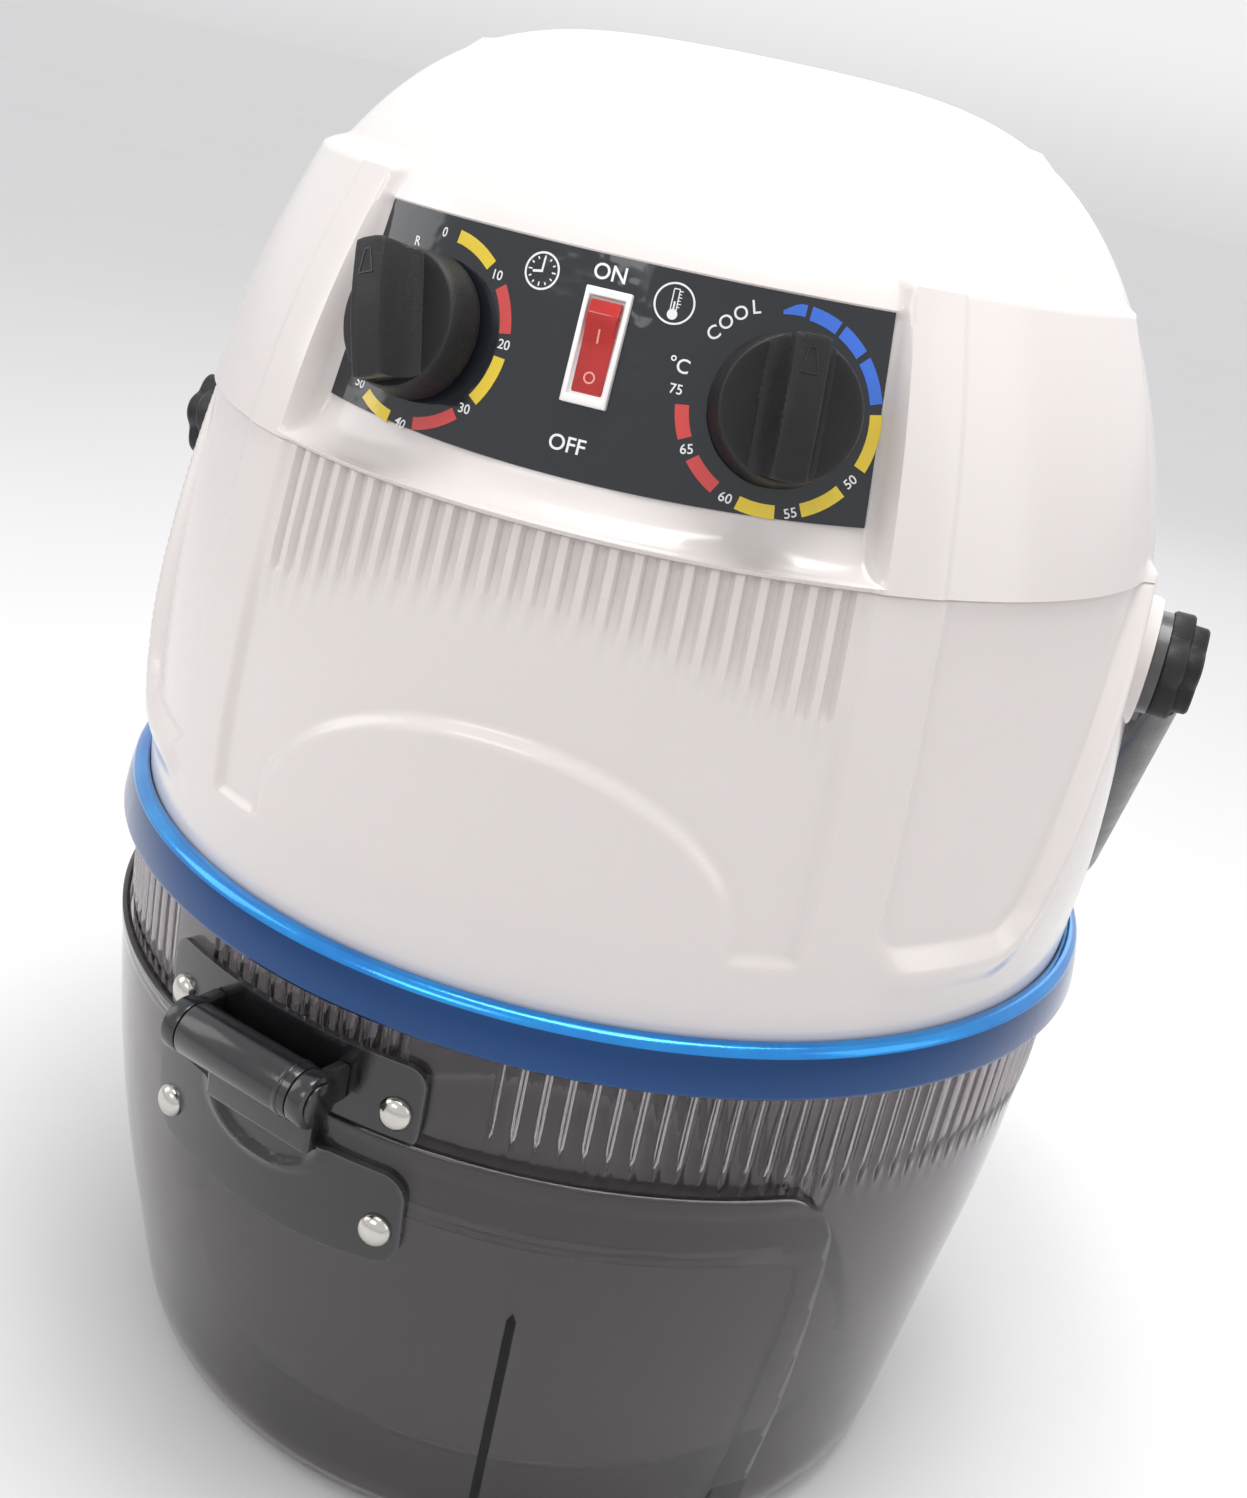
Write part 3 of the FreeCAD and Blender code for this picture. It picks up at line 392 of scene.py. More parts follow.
def window_radius(height):
    """The dished front between the two pillars."""
    if height < LIP:
        return LIP_RADIUS - 1.2 * rise(LIP - height, 0, 1.6)
    if height < PANEL_LOW:
        t = (height - LIP) / (PANEL_LOW - LIP)
        return LEDGE_RADIUS + (LIP_RADIUS - LEDGE_RADIUS) * (1 - math.sqrt(1 - (1 - t) ** 2)) ** 0.8
    if height < PANEL_TOP:
        return panel_radius(height) - 0.8
    return dome_radius(height) + 1.5 * (1 - rise(height, PANEL_TOP, 240))


def block_radius(height):
    """The flatter face of the block on each side."""
    t = (height - SEAM) / 86
    return 176.2 - 28.6 * t + 2.9 * math.sin(math.pi * min(1.0, t))


def from_inlet(side):
    """Degrees round to the middle of the nearest air inlet."""
    return abs((side - 180) / INLET_PITCH - round((side - 180) / INLET_PITCH)) * INLET_PITCH


def inlet(side, height):
    """1 inside one of the eleven upright air inlets at the back, 0 outside."""
    if side < 154 or from_inlet(side) > 0.4:
        return 0.0
    return rise(height, 164.5, 167.5) * (1 - rise(height, 196.5, 199.5))


def cover_radius(azimuth, height):
    """The cover's face: dome, side blocks with their pillars, bead tips, inlets and dished front."""
    side = abs(azimuth)
    dome = dome_radius(height)
    block = rise(side, 31, 32) * (1 - rise(side, BLOCK_BACK, BLOCK_BACK + 3))
    block *= 1 - rise(height, BLOCK_TOP, BLOCK_TOP + 4)
    outer = dome + block * max(0.0, block_radius(height) - dome)
    outer += 0.9 * (1 - rise(side, 39.7, 40.7)) * block
    inner = window_radius(height)
    if height < 154:
        outer += bead_height(side, height) * (1 - rise(height, 148.5, 153.5))
    outer -= INLET_DEEP * inlet(side, height)
    return outer + (inner - outer) * (1 - rise(side, 32.0, 33.5))


low_rows = [SEAM + d for d in (0.1, 0.5, 1.0, 1.3, 1.6, 1.65, 1.8, 2.1, 2.6, 3.3, 4.2, 5.4, 6.8, 8.4,
                               10.2, 12.2, 14.4, 16.8)]
low_rows += steps(SEAM + 18.6, 240, 48)
crown_rows = [dome_radius(240) * (1 - k / 34) for k in range(1, 35)]
cover_line = [(dome_radius(z), z) for z in low_rows]
cover_line += [(r, SEAM + (TOP - SEAM) * (1 - (r / 175.8) ** 3.83) ** (1 / 1.2)) for r in crown_rows[:-1]]
cover_line += [(0, TOP)]
under = [(0, TOP - 4), (60, TOP - 5), (100, TOP - 12), (125, TOP - 33), (136, TOP - 60), (146, 200),
         (154, 170), (156, 156), (168, SEAM + 0.1)]
cover = turn_line(cover_line + under + [(dome_radius(SEAM + 0.1), SEAM + 0.1)], SECTORS, FRONT_START)
for vert in cover.verts:
    if vert.co.z < 239 and math.hypot(vert.co.x, vert.co.y) > dome_radius(vert.co.z) - 1.0:
        set_radius(vert, cover_radius(azimuth_of(vert.co), vert.co.z))
# The outer faces in the inlet grooves at the back take a near-black finish. It is painted shade for the dark
# inside seen through open inlets, together with the dark gauze screen behind them.
for face in cover.faces:
    spot = face.calc_center_median()
    side = abs(azimuth_of(spot))
    outer_wall = math.hypot(spot.x, spot.y) > 158
    if outer_wall and side > 154 and from_inlet(side) < 0.5 and 166 < spot.z < 198:
        face.material_index = 1
inlet_painted_shade = finish_of("inlet_gauze_and_painted_shade", ((0.02, 0.02, 0.02), (0.035, 0.034, 0.033)), (0.5, 0.7),
                       patch=90.0, grain=1500.0, depth=0.0001)
make_piece("casing_cover", cover, on_casing, "hood", [white_abs, inlet_painted_shade],
           ["upper_cover"])

# ------ trim ring
# A rolled aluminium band round the joint of casing and hood, blue anodised, with a turned bevel at its
# upper edge that is painted a brighter blue, a painted highlight. Its two ends meet in a butt joint.

band_line = [(184.6, -0.6), (185.2, 0.5), (186.0, 0.9), (188.6, 0.2), (189.8, -0.7), (190.4, -1.6),
             (190.8, -2.6), (192.2, -10), (192.9, -15.2), (192.9, -16.2), (192.4, -16.7), (190.6, -16.7),
             (187.6, -15.5), (187.4, -4), (184.9, -3), (184.6, -0.6)]
BEVEL_FOOT = -2.2
band = whole_turn(band_line, 360)
for vert in band.verts:
    for joint in (-4.6, 151.0):
        notch = 1 - rise(abs(azimuth_of(vert.co) - joint), 0.05, 0.5)
        set_radius(vert, math.hypot(vert.co.x, vert.co.y) - 0.35 * notch)
blue_metal = finish_of("blue_anodised_band", ((0.007, 0.055, 0.19), (0.006, 0.045, 0.155)), (0.20, 0.34),
                       patch=6.0, grain=260.0, depth=0.00003, stretch=(1, 1, 0.15), Metallic=0.85,
                       Specular_IOR_Level=0.6, Coat_Weight=0.5, Coat_Roughness=0.1)
painted_highlight_blue = finish_of("blue_bevel_painted_highlight", ((0.008, 0.20, 0.62), (0.012, 0.30, 0.75)), (0.14, 0.26),
                        patch=30.0, grain=700.0, depth=0.00003, Metallic=0.8, Coat_Weight=0.6,
                        Coat_Roughness=0.06)
# The bevel's upward faces take the brighter blue: a painted highlight where the light catches the upper
# edge.
for face in band.faces:
    middle = face.calc_center_median()
    if middle.z > BEVEL_FOOT and math.hypot(middle.x, middle.y) > 184.5:
        face.material_index = 1
make_piece("ring_band", band, on_casing, "hood", [blue_metal, painted_highlight_blue],
           ["trim_ring"], 60)

# ------ control panel and its print
# A polycarbonate label over a formed plate: charcoal gloss, printed on the back in yellow, red,
# blue and white. It is glued in the dished window, and its film is a little wavy.

LEAN = math.atan(0.22881)


def on_panel(u, v, lift, azimuth, height):
    """A point u across and v up the face from a place on the panel."""
    z = height + v * math.cos(LEAN) + lift * math.sin(LEAN)
    radius = panel_radius(height + v * math.cos(LEAN)) + lift * math.cos(LEAN)
    turn = math.radians(azimuth) + u / panel_radius(height)
    return around(radius, turn, z)


def lay_on_panel(bm, azimuth, height):
    """Lays a flat shape on the panel, its origin at a place there."""
    for vert in bm.verts:
        vert.co = on_panel(vert.co.x, vert.co.y, vert.co.z, azimuth, height)


label = bmesh.new()
bmesh.ops.create_grid(label, x_segments=128, y_segments=24, size=1)
half_width = math.radians(31.9) * panel_radius(193)
slant = (PANEL_TOP - PANEL_LOW - 0.6) / math.cos(LEAN) / 2
bmesh.ops.scale(label, verts=label.verts, vec=(half_width, slant, 1))
for vert in label.verts:
    curl = 2.0 + 2.3 * (1 - (vert.co.x / half_width) ** 2)
    vert.co.y -= curl * (slant - vert.co.y) / (2 * slant)
bmesh.ops.solidify(label, geom=label.faces[:], thickness=-0.7)
bmesh.ops.recalc_face_normals(label, faces=label.faces)
bmesh.ops.translate(label, verts=label.verts, vec=(0, 0, -max(v.co.z for v in label.verts)))
lay_on_panel(label, 0, 193)

charcoal = finish_of("label_charcoal_gloss", ((0.016, 0.018, 0.022), (0.012, 0.014, 0.018)), (0.04, 0.10),
                     patch=12.0, grain=38.0, depth=0.0005, Specular_IOR_Level=0.42, Coat_Weight=0.25,
                     Coat_Roughness=0.04)
make_piece("dial_label", label, on_casing, "hood", [charcoal], ["control_panel"])

print_finishes = {}
for ink, tint in (("white_ink", (0.80, 0.80, 0.80)), ("yellow_ink", (0.76, 0.55, 0.015)),
                  ("red_ink", (0.60, 0.042, 0.040)), ("blue_ink", (0.02, 0.14, 0.66))):
    print_finishes[ink] = finish_of(ink, (tint, tuple(c * 0.93 for c in tint)), (0.12, 0.22), patch=60.0,
                                    grain=300.0, depth=0.00002, Coat_Weight=0.6, Coat_Roughness=0.05)
prints = {ink: bmesh.new() for ink in print_finishes}
PRINT_LIFT = 0.12


def clock_point(reach, angle):
    """The point at a reach, in degrees clockwise from the panel's up."""
    a = math.radians(angle)
    return reach * math.sin(a), reach * math.cos(a)


def sector(inner, outer, begin, end):
    """A flat sector; angles in degrees clockwise from the panel's up."""
    bm = bmesh.new()
    ends = [bm.verts.new((*clock_point(r, begin), PRINT_LIFT)) for r in (inner, outer)]
    edge = bm.edges.new(ends)
    bmesh.ops.spin(bm, geom=[*ends, edge], cent=(0, 0, 0), axis=(0, 0, -1), dvec=(0, 0, 0),
                   angle=math.radians(end - begin), steps=max(3, int((end - begin) / 3)),
                   use_merge=end - begin == 360, use_normal_flip=False, use_duplicate=False)
    return bm


def stroke(x0, y0, x1, y1, width):
    """A straight printed line."""
    bm = bmesh.new()
    bmesh.ops.create_grid(bm, x_segments=1, y_segments=1, size=0.5)
    run = Vector((x1 - x0, y1 - y0, 0))
    bmesh.ops.scale(bm, verts=bm.verts, vec=(run.length, width, 1))
    bmesh.ops.rotate(bm, verts=bm.verts, matrix=Matrix.Rotation(math.atan2(run.y, run.x), 3, "Z"))
    bmesh.ops.translate(bm, verts=bm.verts, vec=((x0 + x1) / 2, (y0 + y1) / 2, PRINT_LIFT))
    return bm


def letters(words, tall, x=0.0, y=0.0, turn=0.0):
    """Words as a flat mesh, centred at a place; turn in degrees clockwise."""
    curve = bpy.data.curves.new("words", "FONT")
    curve.body = words
    curve.size = tall * 1.38
    curve.align_x = "CENTER"
    curve.resolution_u = 4
    curve.offset = 0.012 * tall
    carrier = bpy.data.objects.new("words", curve)
    bpy.context.scene.collection.objects.link(carrier)
    bpy.context.view_layer.update()
    mesh = bpy.data.meshes.new_from_object(carrier.evaluated_get(bpy.context.evaluated_depsgraph_get()))
    bpy.data.objects.remove(carrier)
    bm = bmesh.new()
    bm.from_mesh(mesh)
    bpy.data.meshes.remove(mesh)
    bmesh.ops.translate(bm, verts=bm.verts, vec=(0, -tall / 2, PRINT_LIFT))
    bmesh.ops.rotate(bm, verts=bm.verts, matrix=Matrix.Rotation(-math.radians(turn), 3, "Z"))
    bmesh.ops.translate(bm, verts=bm.verts, vec=(x, y, 0))
    return bm


def put_print(ink, bm, azimuth, height):
    """Prints a flat shape in one of the four inks, facing out."""
    for face in bm.faces:
        if face.normal.z < 0:
            face.normal_flip()
    lay_on_panel(bm, azimuth, height)
    join_in(prints[ink], bm)


DIALS = {"timer": (-20.6, 189.4), "temperature": (20.9, 190.2)}
for k, ink in enumerate(("yellow_ink", "red_ink") * 3):
    begin, end = ((5, 37), (52, 80), (94, 124), (138, 168), (187, 212), (230, 256))[k]
    put_print(ink, sector(26.6, 30.4, begin, end), *DIALS["timer"])
for words, angle, turn in (("R", -30, -6), ("0", -7, 0), ("10", 44, 0), ("20", 86, 0), ("30", 131, 0),
                           ("40", 177, 14), ("50", 221, 8), ("60", 268, 0)):
    reach = 27.6 if words == "R" else 28.8
    put_print("white_ink", letters(words, 2.9, *clock_point(reach, angle), turn), *DIALS["timer"])
for ink, begin, end in (("blue_ink", 7, 26), ("blue_ink", 29, 47), ("blue_ink", 51, 77),
                        ("yellow_ink", 83, 116), ("yellow_ink", 133, 159), ("yellow_ink", 174, 196),
                        ("red_ink", 211, 232), ("red_ink", 244, 263)):
    put_print(ink, sector(26.6, 30.6, begin, end), *DIALS["temperature"])
wedge = sector(27.2, 30.6, -10, 4)
for vert in wedge.verts:
    angle = math.degrees(math.atan2(vert.co.x, vert.co.y))
    radius = math.hypot(vert.co.x, vert.co.y)
    if radius > 29:
        set_radius(vert, 28.0 + 2.6 * rise(angle, -13, 2))
put_print("blue_ink", wedge, *DIALS["temperature"])
for words, tall, reach, angle, turn in (
        ("50", 2.9, 28.6, 125, -48), ("55", 2.9, 28.8, 165, -20), ("60", 2.9, 29.0, 203, 10),
        ("65", 2.9, 29.0, 238, -12), ("75", 2.9, 31.0, 271, 0), ("°C", 4.2, 32.4, 283, 4),
        ("C", 4.0, 30.0, 307, -40), ("O", 4.0, 30.2, 316, -32), ("O", 4.0, 30.3, 325.5, -24),
        ("L", 4.0, 30.4, 334.5, -16)):
    word = letters(words, tall, *clock_point(reach, angle), turn)
    put_print("white_ink", word, *DIALS["temperature"])
put_print("white_ink", letters("ON", 4.7), -0.2, 217.6)
put_print("white_ink", letters("OFF", 4.7), -0.35, 169.1)

CLOCK, GAUGE = (-8.0, 213.7), (7.4, 213.2)
put_print("white_ink", sector(4.9, 5.5, 0, 360), *CLOCK)
for hour in range(12):
    near, far = (3.5, 4.3) if hour % 3 else (3.2, 4.4)
    mark = stroke(*clock_point(near, 30 * hour), *clock_point(far, 30 * hour), 0.42)
    put_print("white_ink", mark, *CLOCK)
put_print("white_ink", stroke(0, -0.3, 0, 3.9, 0.6), *CLOCK)
put_print("white_ink", stroke(0.3, 0, -2.9, -0.55, 0.7), *CLOCK)
put_print("white_ink", sector(5.4, 5.95, 0, 360), *GAUGE)
put_print("white_ink", sector(0.05, 1.5, 0, 360), GAUGE[0], GAUGE[1] - 3.0)
for x in (-0.85, 0.85):
    put_print("white_ink", stroke(x, -2.0, x, 4.0, 0.32), *GAUGE)
put_print("white_ink", stroke(-0.85, 4.1, 0.85, 4.1, 0.32), *GAUGE)
put_print("white_ink", stroke(0, -2.6, 0, 0.6, 0.5), *GAUGE)
for k in range(6):
    put_print("white_ink", stroke(1.0, -0.9 + 0.9 * k, 1.9 if k % 2 else 1.6, -0.9 + 0.9 * k, 0.26), *GAUGE)
for ink, bm in prints.items():
    piece = make_piece(f"print_{ink}", bm, on_casing, "hood", [print_finishes[ink]])
    film = piece.modifiers.new("film", "SOLIDIFY")
    film.thickness = 0.00008
    film.offset = -1
    for polygon in piece.data.polygons:
        polygon.use_smooth = False

# ------ dial knobs
# Two pointer knobs in black PBT with a fine spark-eroded texture, pushed on flatted shafts. Each
# has a stepped round skirt and a tapered grip bar with hollow flanks and a triangle at its tip.


def face_frame(azimuth, height, turn=0.0):
    """On the panel: X to the right, Y up the face, Z out of it. Turn in degrees clockwise."""
    a = math.radians(azimuth)
    flat = Vector((math.sin(a), -math.cos(a), 0))
    right = Vector((math.cos(a), math.sin(a), 0))
    out = flat * math.cos(LEAN) + Vector((0, 0, math.sin(LEAN)))
    up = out.cross(right)
    made = Matrix((right, up, out)).transposed().to_4x4()
    made.translation = on_panel(0, 0, 0, azimuth, height)
    return made @ Matrix.Rotation(-math.radians(turn), 4, "Z")


SKIRT_FOOT, SKIRT_TOP, GRIP_HIGH = 1.5, 13.5, 14.5
DISC = 20.6
GRIP_CUTS = 36


def push_out(bm, faces, by):
    """Draws faces out of a mesh; gives the faces at the new end and their corners."""
    drawn = bmesh.ops.extrude_face_region(bm, geom=faces)["geom"]
    corners = [g for g in drawn if isinstance(g, bmesh.types.BMVert)]
    bmesh.ops.translate(bm, verts=corners, vec=by)
    return [g for g in drawn if isinstance(g, bmesh.types.BMFace)], corners


def grip_arch(along):
    """The grip's top is arched: 1 in the middle, lower at its ends."""
    return 1 - 0.13 * (abs(along) / DISC) ** 1.6


def knob_shape():
    """Skirt, grip and the hollow triangle, standing on the panel at the origin."""
    skirt = whole_turn([(0, SKIRT_FOOT), (21.2, SKIRT_FOOT), (21.8, SKIRT_FOOT + 0.3), (22, SKIRT_FOOT + 1),
                        (21.9, SKIRT_FOOT + 2.2), (21.2, 9.5), (21.0, SKIRT_TOP - 1.4),
                        (DISC, SKIRT_TOP - 0.35), (DISC - 0.5, SKIRT_TOP), (14, SKIRT_TOP),
                        (0, SKIRT_TOP)], 96)
    grip = bmesh.new()
    half = [(9.9, -2.0), (9.9, 0.0), (9.5, 0.25), (8.7, 0.7), (7.6, 2.1), (6.7, 4.6), (6.0, 8.0),
            (5.5, 11.2), (5.2, 13.4), (4.95, 14.2), (4.5, GRIP_HIGH), (2.2, GRIP_HIGH)]
    section = half + [(-x, z) for x, z in reversed(half)]
    moving = [grip.faces.new([grip.verts.new((x, -DISC, SKIRT_TOP + z)) for x, z in section])]
    for _ in range(GRIP_CUTS):
        moving = push_out(grip, moving, (0, 2 * DISC / GRIP_CUTS, 0))[0]
    bmesh.ops.recalc_face_normals(grip, faces=grip.faces)
    for vert in grip.verts:
        x, y, z = vert.co
        if z > SKIRT_TOP:
            z = SKIRT_TOP + (z - SKIRT_TOP) * grip_arch(y)
        limit = math.sqrt(max(0.04, (DISC - 0.25) ** 2 - x * x))
        vert.co = (x, max(-limit, min(limit, y)), z)
    bmesh.ops.remove_doubles(grip, verts=grip.verts, dist=0.02)
    join_in(skirt, grip)
    for x0, y0, x1, y1 in ((-2.5, 9.6, 2.5, 9.6), (2.5, 9.6, 0.9, 16.6), (-2.5, 9.6, -0.9, 16.6),
                           (-0.9, 16.6, 0.9, 16.6)):
        line = stroke(x0, y0, x1, y1, 0.5)
        push_out(line, line.faces[:], (0, 0, -0.5))
        bmesh.ops.recalc_face_normals(line, faces=line.faces)
        for vert in line.verts:
            vert.co.z += SKIRT_TOP + GRIP_HIGH * grip_arch(vert.co.y) + 0.05
        for face in line.faces:
            face.material_index = 1
        join_in(skirt, line)
    return skirt


black_pbt = finish_of("black_knob_pbt", ((0.010, 0.010, 0.011), (0.014, 0.014, 0.015)), (0.36, 0.52),
                      patch=40.0, grain=2600.0, depth=0.00012, worn=(0.05, 0.05, 0.052),
                      Specular_IOR_Level=0.3)
engraving = finish_of("knob_engraving", ((0.008, 0.008, 0.008), (0.012, 0.012, 0.012)), (0.3, 0.4),
                      patch=40.0, grain=900.0)
for dial, pointer in (("timer", -20), ("temperature", 0)):
    place = on_casing @ face_frame(*DIALS[dial], pointer)
    make_piece(f"{dial}_knob_moulding", knob_shape(), place, f"{dial}_dial", [black_pbt, engraving],
               [f"{dial}_knob"], 30)

# ------ rocker switch
# A lit mains rocker: white nylon bezel snapped through the label, red translucent rocker with an
# I and an O moulded in, tipped so its upper end stands out.

def ease_edges(bm, angle, offset):
    """Rounds the edges sharper than an angle, apart from the hidden ones at the back."""
    sharp = [e for e in bm.edges if e.calc_face_angle(0) > angle and min(v.co.z for v in e.verts) > -2]
    bmesh.ops.bevel(bm, geom=sharp, affect="EDGES", offset=offset, segments=3, profile=0.5, material=-1)


bezel = bmesh.new()
bmesh.ops.create_cube(bezel, size=1)
bmesh.ops.scale(bezel, verts=bezel.verts, vec=(13.9, 33.3, 2.9))
bmesh.ops.translate(bezel, verts=bezel.verts, vec=(0, 0, 0.75))
front = max(bezel.faces, key=lambda f: f.calc_center_median().z)
bmesh.ops.inset_region(bezel, faces=[front], thickness=2.1, depth=0)
bmesh.ops.scale(bezel, verts=front.verts, vec=(1, 0.945, 1))
bmesh.ops.inset_region(bezel, faces=[front], thickness=0.12, depth=-0.4)
bmesh.ops.translate(bezel, verts=front.verts, vec=(0, 0, -1.5))
ease_edges(bezel, 0.6, 0.35)
white_nylon = finish_of("switch_white_nylon", ((0.83, 0.81, 0.80), (0.80, 0.78, 0.77)), (0.25, 0.35),
                        patch=60.0, grain=900.0, depth=0.00002, Coat_Weight=0.2)
switch_place = on_casing @ face_frame(0.35, 196.6)
make_piece("switch_bezel", bezel, switch_place, "hood", [white_nylon],
           ["switch_housing"], 30)

rocker = bmesh.new()
ends = [rocker.verts.new((-4.65, y, z)) for y, z in
        ((-13.2, -2.4), (-13.3, 0.2), (-12.9, 0.75), (-6, 0.95), (0, 1.25), (4.5, 2.1), (9.0, 3.6),
         (9.6, 3.55), (13.1, 2.2), (13.3, 1.7), (13.3, -2.4))]
push_out(rocker, [rocker.faces.new(ends)], (9.3, 0, 0))
bmesh.ops.recalc_face_normals(rocker, faces=rocker.faces)
ease_edges(rocker, 0.9, 0.45)
for mark in (stroke(0, 1.2, 0, 5.2, 0.55), sector(1.25, 1.75, 0, 360)):
    ring = len(mark.faces) > 1
    bmesh.ops.translate(mark, verts=mark.verts, vec=(0, -8.6 if ring else 0, 0))
    for vert in mark.verts:
        y = vert.co.y
        vert.co.z = (0.95 + 0.3 * (y + 6) / 6 if y < 0 else 1.25 + 0.85 * y / 4.5 if y < 4.5
                     else 2.1 + 1.5 * (y - 4.5) / 4.5) + 0.1
        if y < -6:
            vert.co.z = 0.75 + 0.2 * (y + 12.9) / 6.9 + 0.1
    for face in mark.faces:
        face.material_index = 1
        if face.normal.z < 0:
            face.normal_flip()
    join_in(rocker, mark)
red_lens = finish_of("rocker_red_polycarbonate", ((0.62, 0.012, 0.008), (0.48, 0.008, 0.006)), (0.08, 0.16),
                     patch=70.0, grain=500.0, depth=0.00001, Transmission_Weight=0.25, Coat_Weight=0.5,
                     Coat_Roughness=0.05, Subsurface_Weight=0.3, Subsurface_Scale=0.003)
pale_mark = finish_of("rocker_pale_mark", ((0.85, 0.35, 0.30), (0.80, 0.32, 0.28)), (0.3, 0.4), patch=40.0)
make_piece("rocker_lens", rocker, switch_place, "rocker", [red_lens, pale_mark],
           ["rocker"], 30)

# ------ smoked hood
# A clear smoke-grey polycarbonate hood, blow moulded: fine upright ribs under the ring, a rim
# rolled inwards so it is soft to the head, and a window in front that the visor closes.

HOOD_TURN = -17.4
on_hood = on_casing @ Matrix.Rotation(math.radians(HOOD_TURN), 4, "Z")
HOOD_RIBS = 150
WINDOW_CORNER = 15.0
SHEET_RADIUS = 182


def length_line(points):
    """The same points with the distance along them first."""
    run, out = 0.0, []
    for k, point in enumerate(points):
        run += math.dist(point, points[k - 1]) if k else 0.0
        out.append((run, point))
    return out


def point_along(line, distance):
    """The (radius, height) at a distance along such a line."""
    return tuple(smooth_line([(run, point[axis]) for run, point in line], distance) for axis in (0, 1))


def roll_sheet(line, half_angle, columns, rows, gap, relief):
    """A grid cut to an outline, then rolled round the axis along a side line of (radius, height)."""
    bm = bmesh.new()
    bmesh.ops.create_grid(bm, x_segments=columns, y_segments=rows, size=1)
    total = line[-1][0]
    unit = math.radians(1) * SHEET_RADIUS
    for vert in bm.verts:
        vert.co = (vert.co.x * half_angle * unit, -(vert.co.y + 1) / 2 * total, 0)
    middles = [(face, face.calc_center_median()) for face in bm.faces]
    cut_away = [face for face, middle in middles if gap(middle.x / unit, -middle.y) < 0]
    bmesh.ops.delete(bm, geom=cut_away, context="FACES")
    for vert in bm.verts:
        if not vert.is_boundary:
            continue
        x, y = vert.co.x, vert.co.y
        off = gap(x / unit, -y)
        if abs(off) < 4:
            dx = (gap((x + 0.2) / unit, -y) - off) / 0.2
            dy = (gap(x / unit, -(y + 0.2)) - off) / 0.2
            size = dx * dx + dy * dy
            if size > 0.1:
                vert.co.x -= off * dx / size
                vert.co.y -= off * dy / size
    for vert in bm.verts:
        azimuth, distance = vert.co.x / unit, -vert.co.y
        radius, height = point_along(line, min(total, max(0.0, distance)))
        if distance < total * 0.5:
            radius += relief(azimuth, height)
        vert.co = around(radius, math.radians(azimuth), height)
    bmesh.ops.remove_doubles(bm, verts=bm.verts, dist=0.01)
    bmesh.ops.recalc_face_normals(bm, faces=bm.faces)
    outer = max(bm.faces, key=lambda f: math.hypot(*f.calc_center_median().xy))
    if outer.normal.xy.dot(outer.calc_center_median().xy) < 0:
        bmesh.ops.reverse_faces(bm, faces=bm.faces)
    return bm


def wall_of(piece, thickness):
    """Gives a skin its wall, inwards, in metres."""
    wall = piece.modifiers.new("wall", "SOLIDIFY")
    wall.thickness = thickness
    wall.offset = -1
    wall.use_rim = True


shell_side = length_line([(186.2, -3.2), (186.0, -20), (185.8, -40), (185.4, -60), (184.4, -80),
                          (181.6, -110), (177.6, -140), (173.4, -170), (169.6, -200), (166.6, -222),
                          (163.6, -231), (157.6, -236), (151.0, -234.2), (146.9, -228), (145.7, -218),
                          (145.7, -210)])


def window_gap(azimuth, distance):
    """Millimetres outside the visor's window in the hood."""
    side = (60.8 - abs(azimuth)) * 3.18
    down = distance - 84.5
    if min(side, down) >= WINDOW_CORNER:
        return -min(side, down)
    return -min(inside_corner(WINDOW_CORNER, side, down), side, down)


def hood_relief(azimuth, height):
    """Upright ribs in the band under the ring, left smooth under the hinge screws."""
    seen = azimuth + HOOD_TURN
    smooth_patch = max(1 - rise(abs(seen + 33.5), 4.2, 4.9), 1 - rise(abs(seen - 1.5), 4.2, 4.9))
    band = (1 - rise(-height, 54.5, 57.0)) * (1 - smooth_patch)
    wave = 0.5 + 0.5 * math.cos(math.radians(azimuth * HOOD_RIBS))
    return 2.1 * band * (wave - 0.5)


shell = roll_sheet(shell_side, 180, 900, 46, window_gap, hood_relief)
smoke = finish_of("smoked_polycarbonate", ((0.36, 0.335, 0.345), (0.33, 0.305, 0.315)), (0.035, 0.07),
                  patch=4.0, grain=30.0, depth=0.00008, Transmission_Weight=0.97, IOR=1.45,
                  Specular_IOR_Level=0.5)
shell_piece = make_piece("hood_smoked_shell", shell, on_hood, "hood", [smoke],
                         ["hood_shell"], 50)
wall_of(shell_piece, 0.0026)

# ------ visor
# A second smoked moulding that laps over the window by a finger's width. Its lower edge is rolled
# like the hood's, its top corners are round, and one upright slot is moulded to the right of the middle.

VISOR_TOP = -57.5
VISOR_CORNER = 24.0
SLOT_ANGLE, SLOT_START, SLOT_LONG = 30.0, 56.0, 118.0
visor_side = length_line([(189.2, VISOR_TOP), (188.9, -69), (188.0, -85), (185.8, -110), (181.9, -140),
                          (177.4, -166), (171.6, -193), (167.6, -212), (164.6, -224), (161.0, -232),
                          (155.2, -236.8), (149.6, -233), (146.6, -226), (145.7, -217), (145.7, -209.5)])


def visor_gap(azimuth, distance):
    """Millimetres inside the visor's outline, which widens a little downwards."""
    side = (61.8 + 0.03 * distance - abs(azimuth)) * 3.2
    if min(side, distance) >= VISOR_CORNER:
        return min(side, distance)
    return inside_corner(VISOR_CORNER, side, distance)


def visor_relief(azimuth, height):
    """A shallow raised flange along the visor's top edge."""
    return 0.7 * (1 - rise(-height, 62.5, 66.0))


visor = roll_sheet(visor_side, 70, 200, 120, visor_gap, visor_relief)
visor_piece = make_piece("visor_smoked", visor, on_hood, "visor", [smoke], ["visor"], 50)
wall_of(visor_piece, 0.0028)

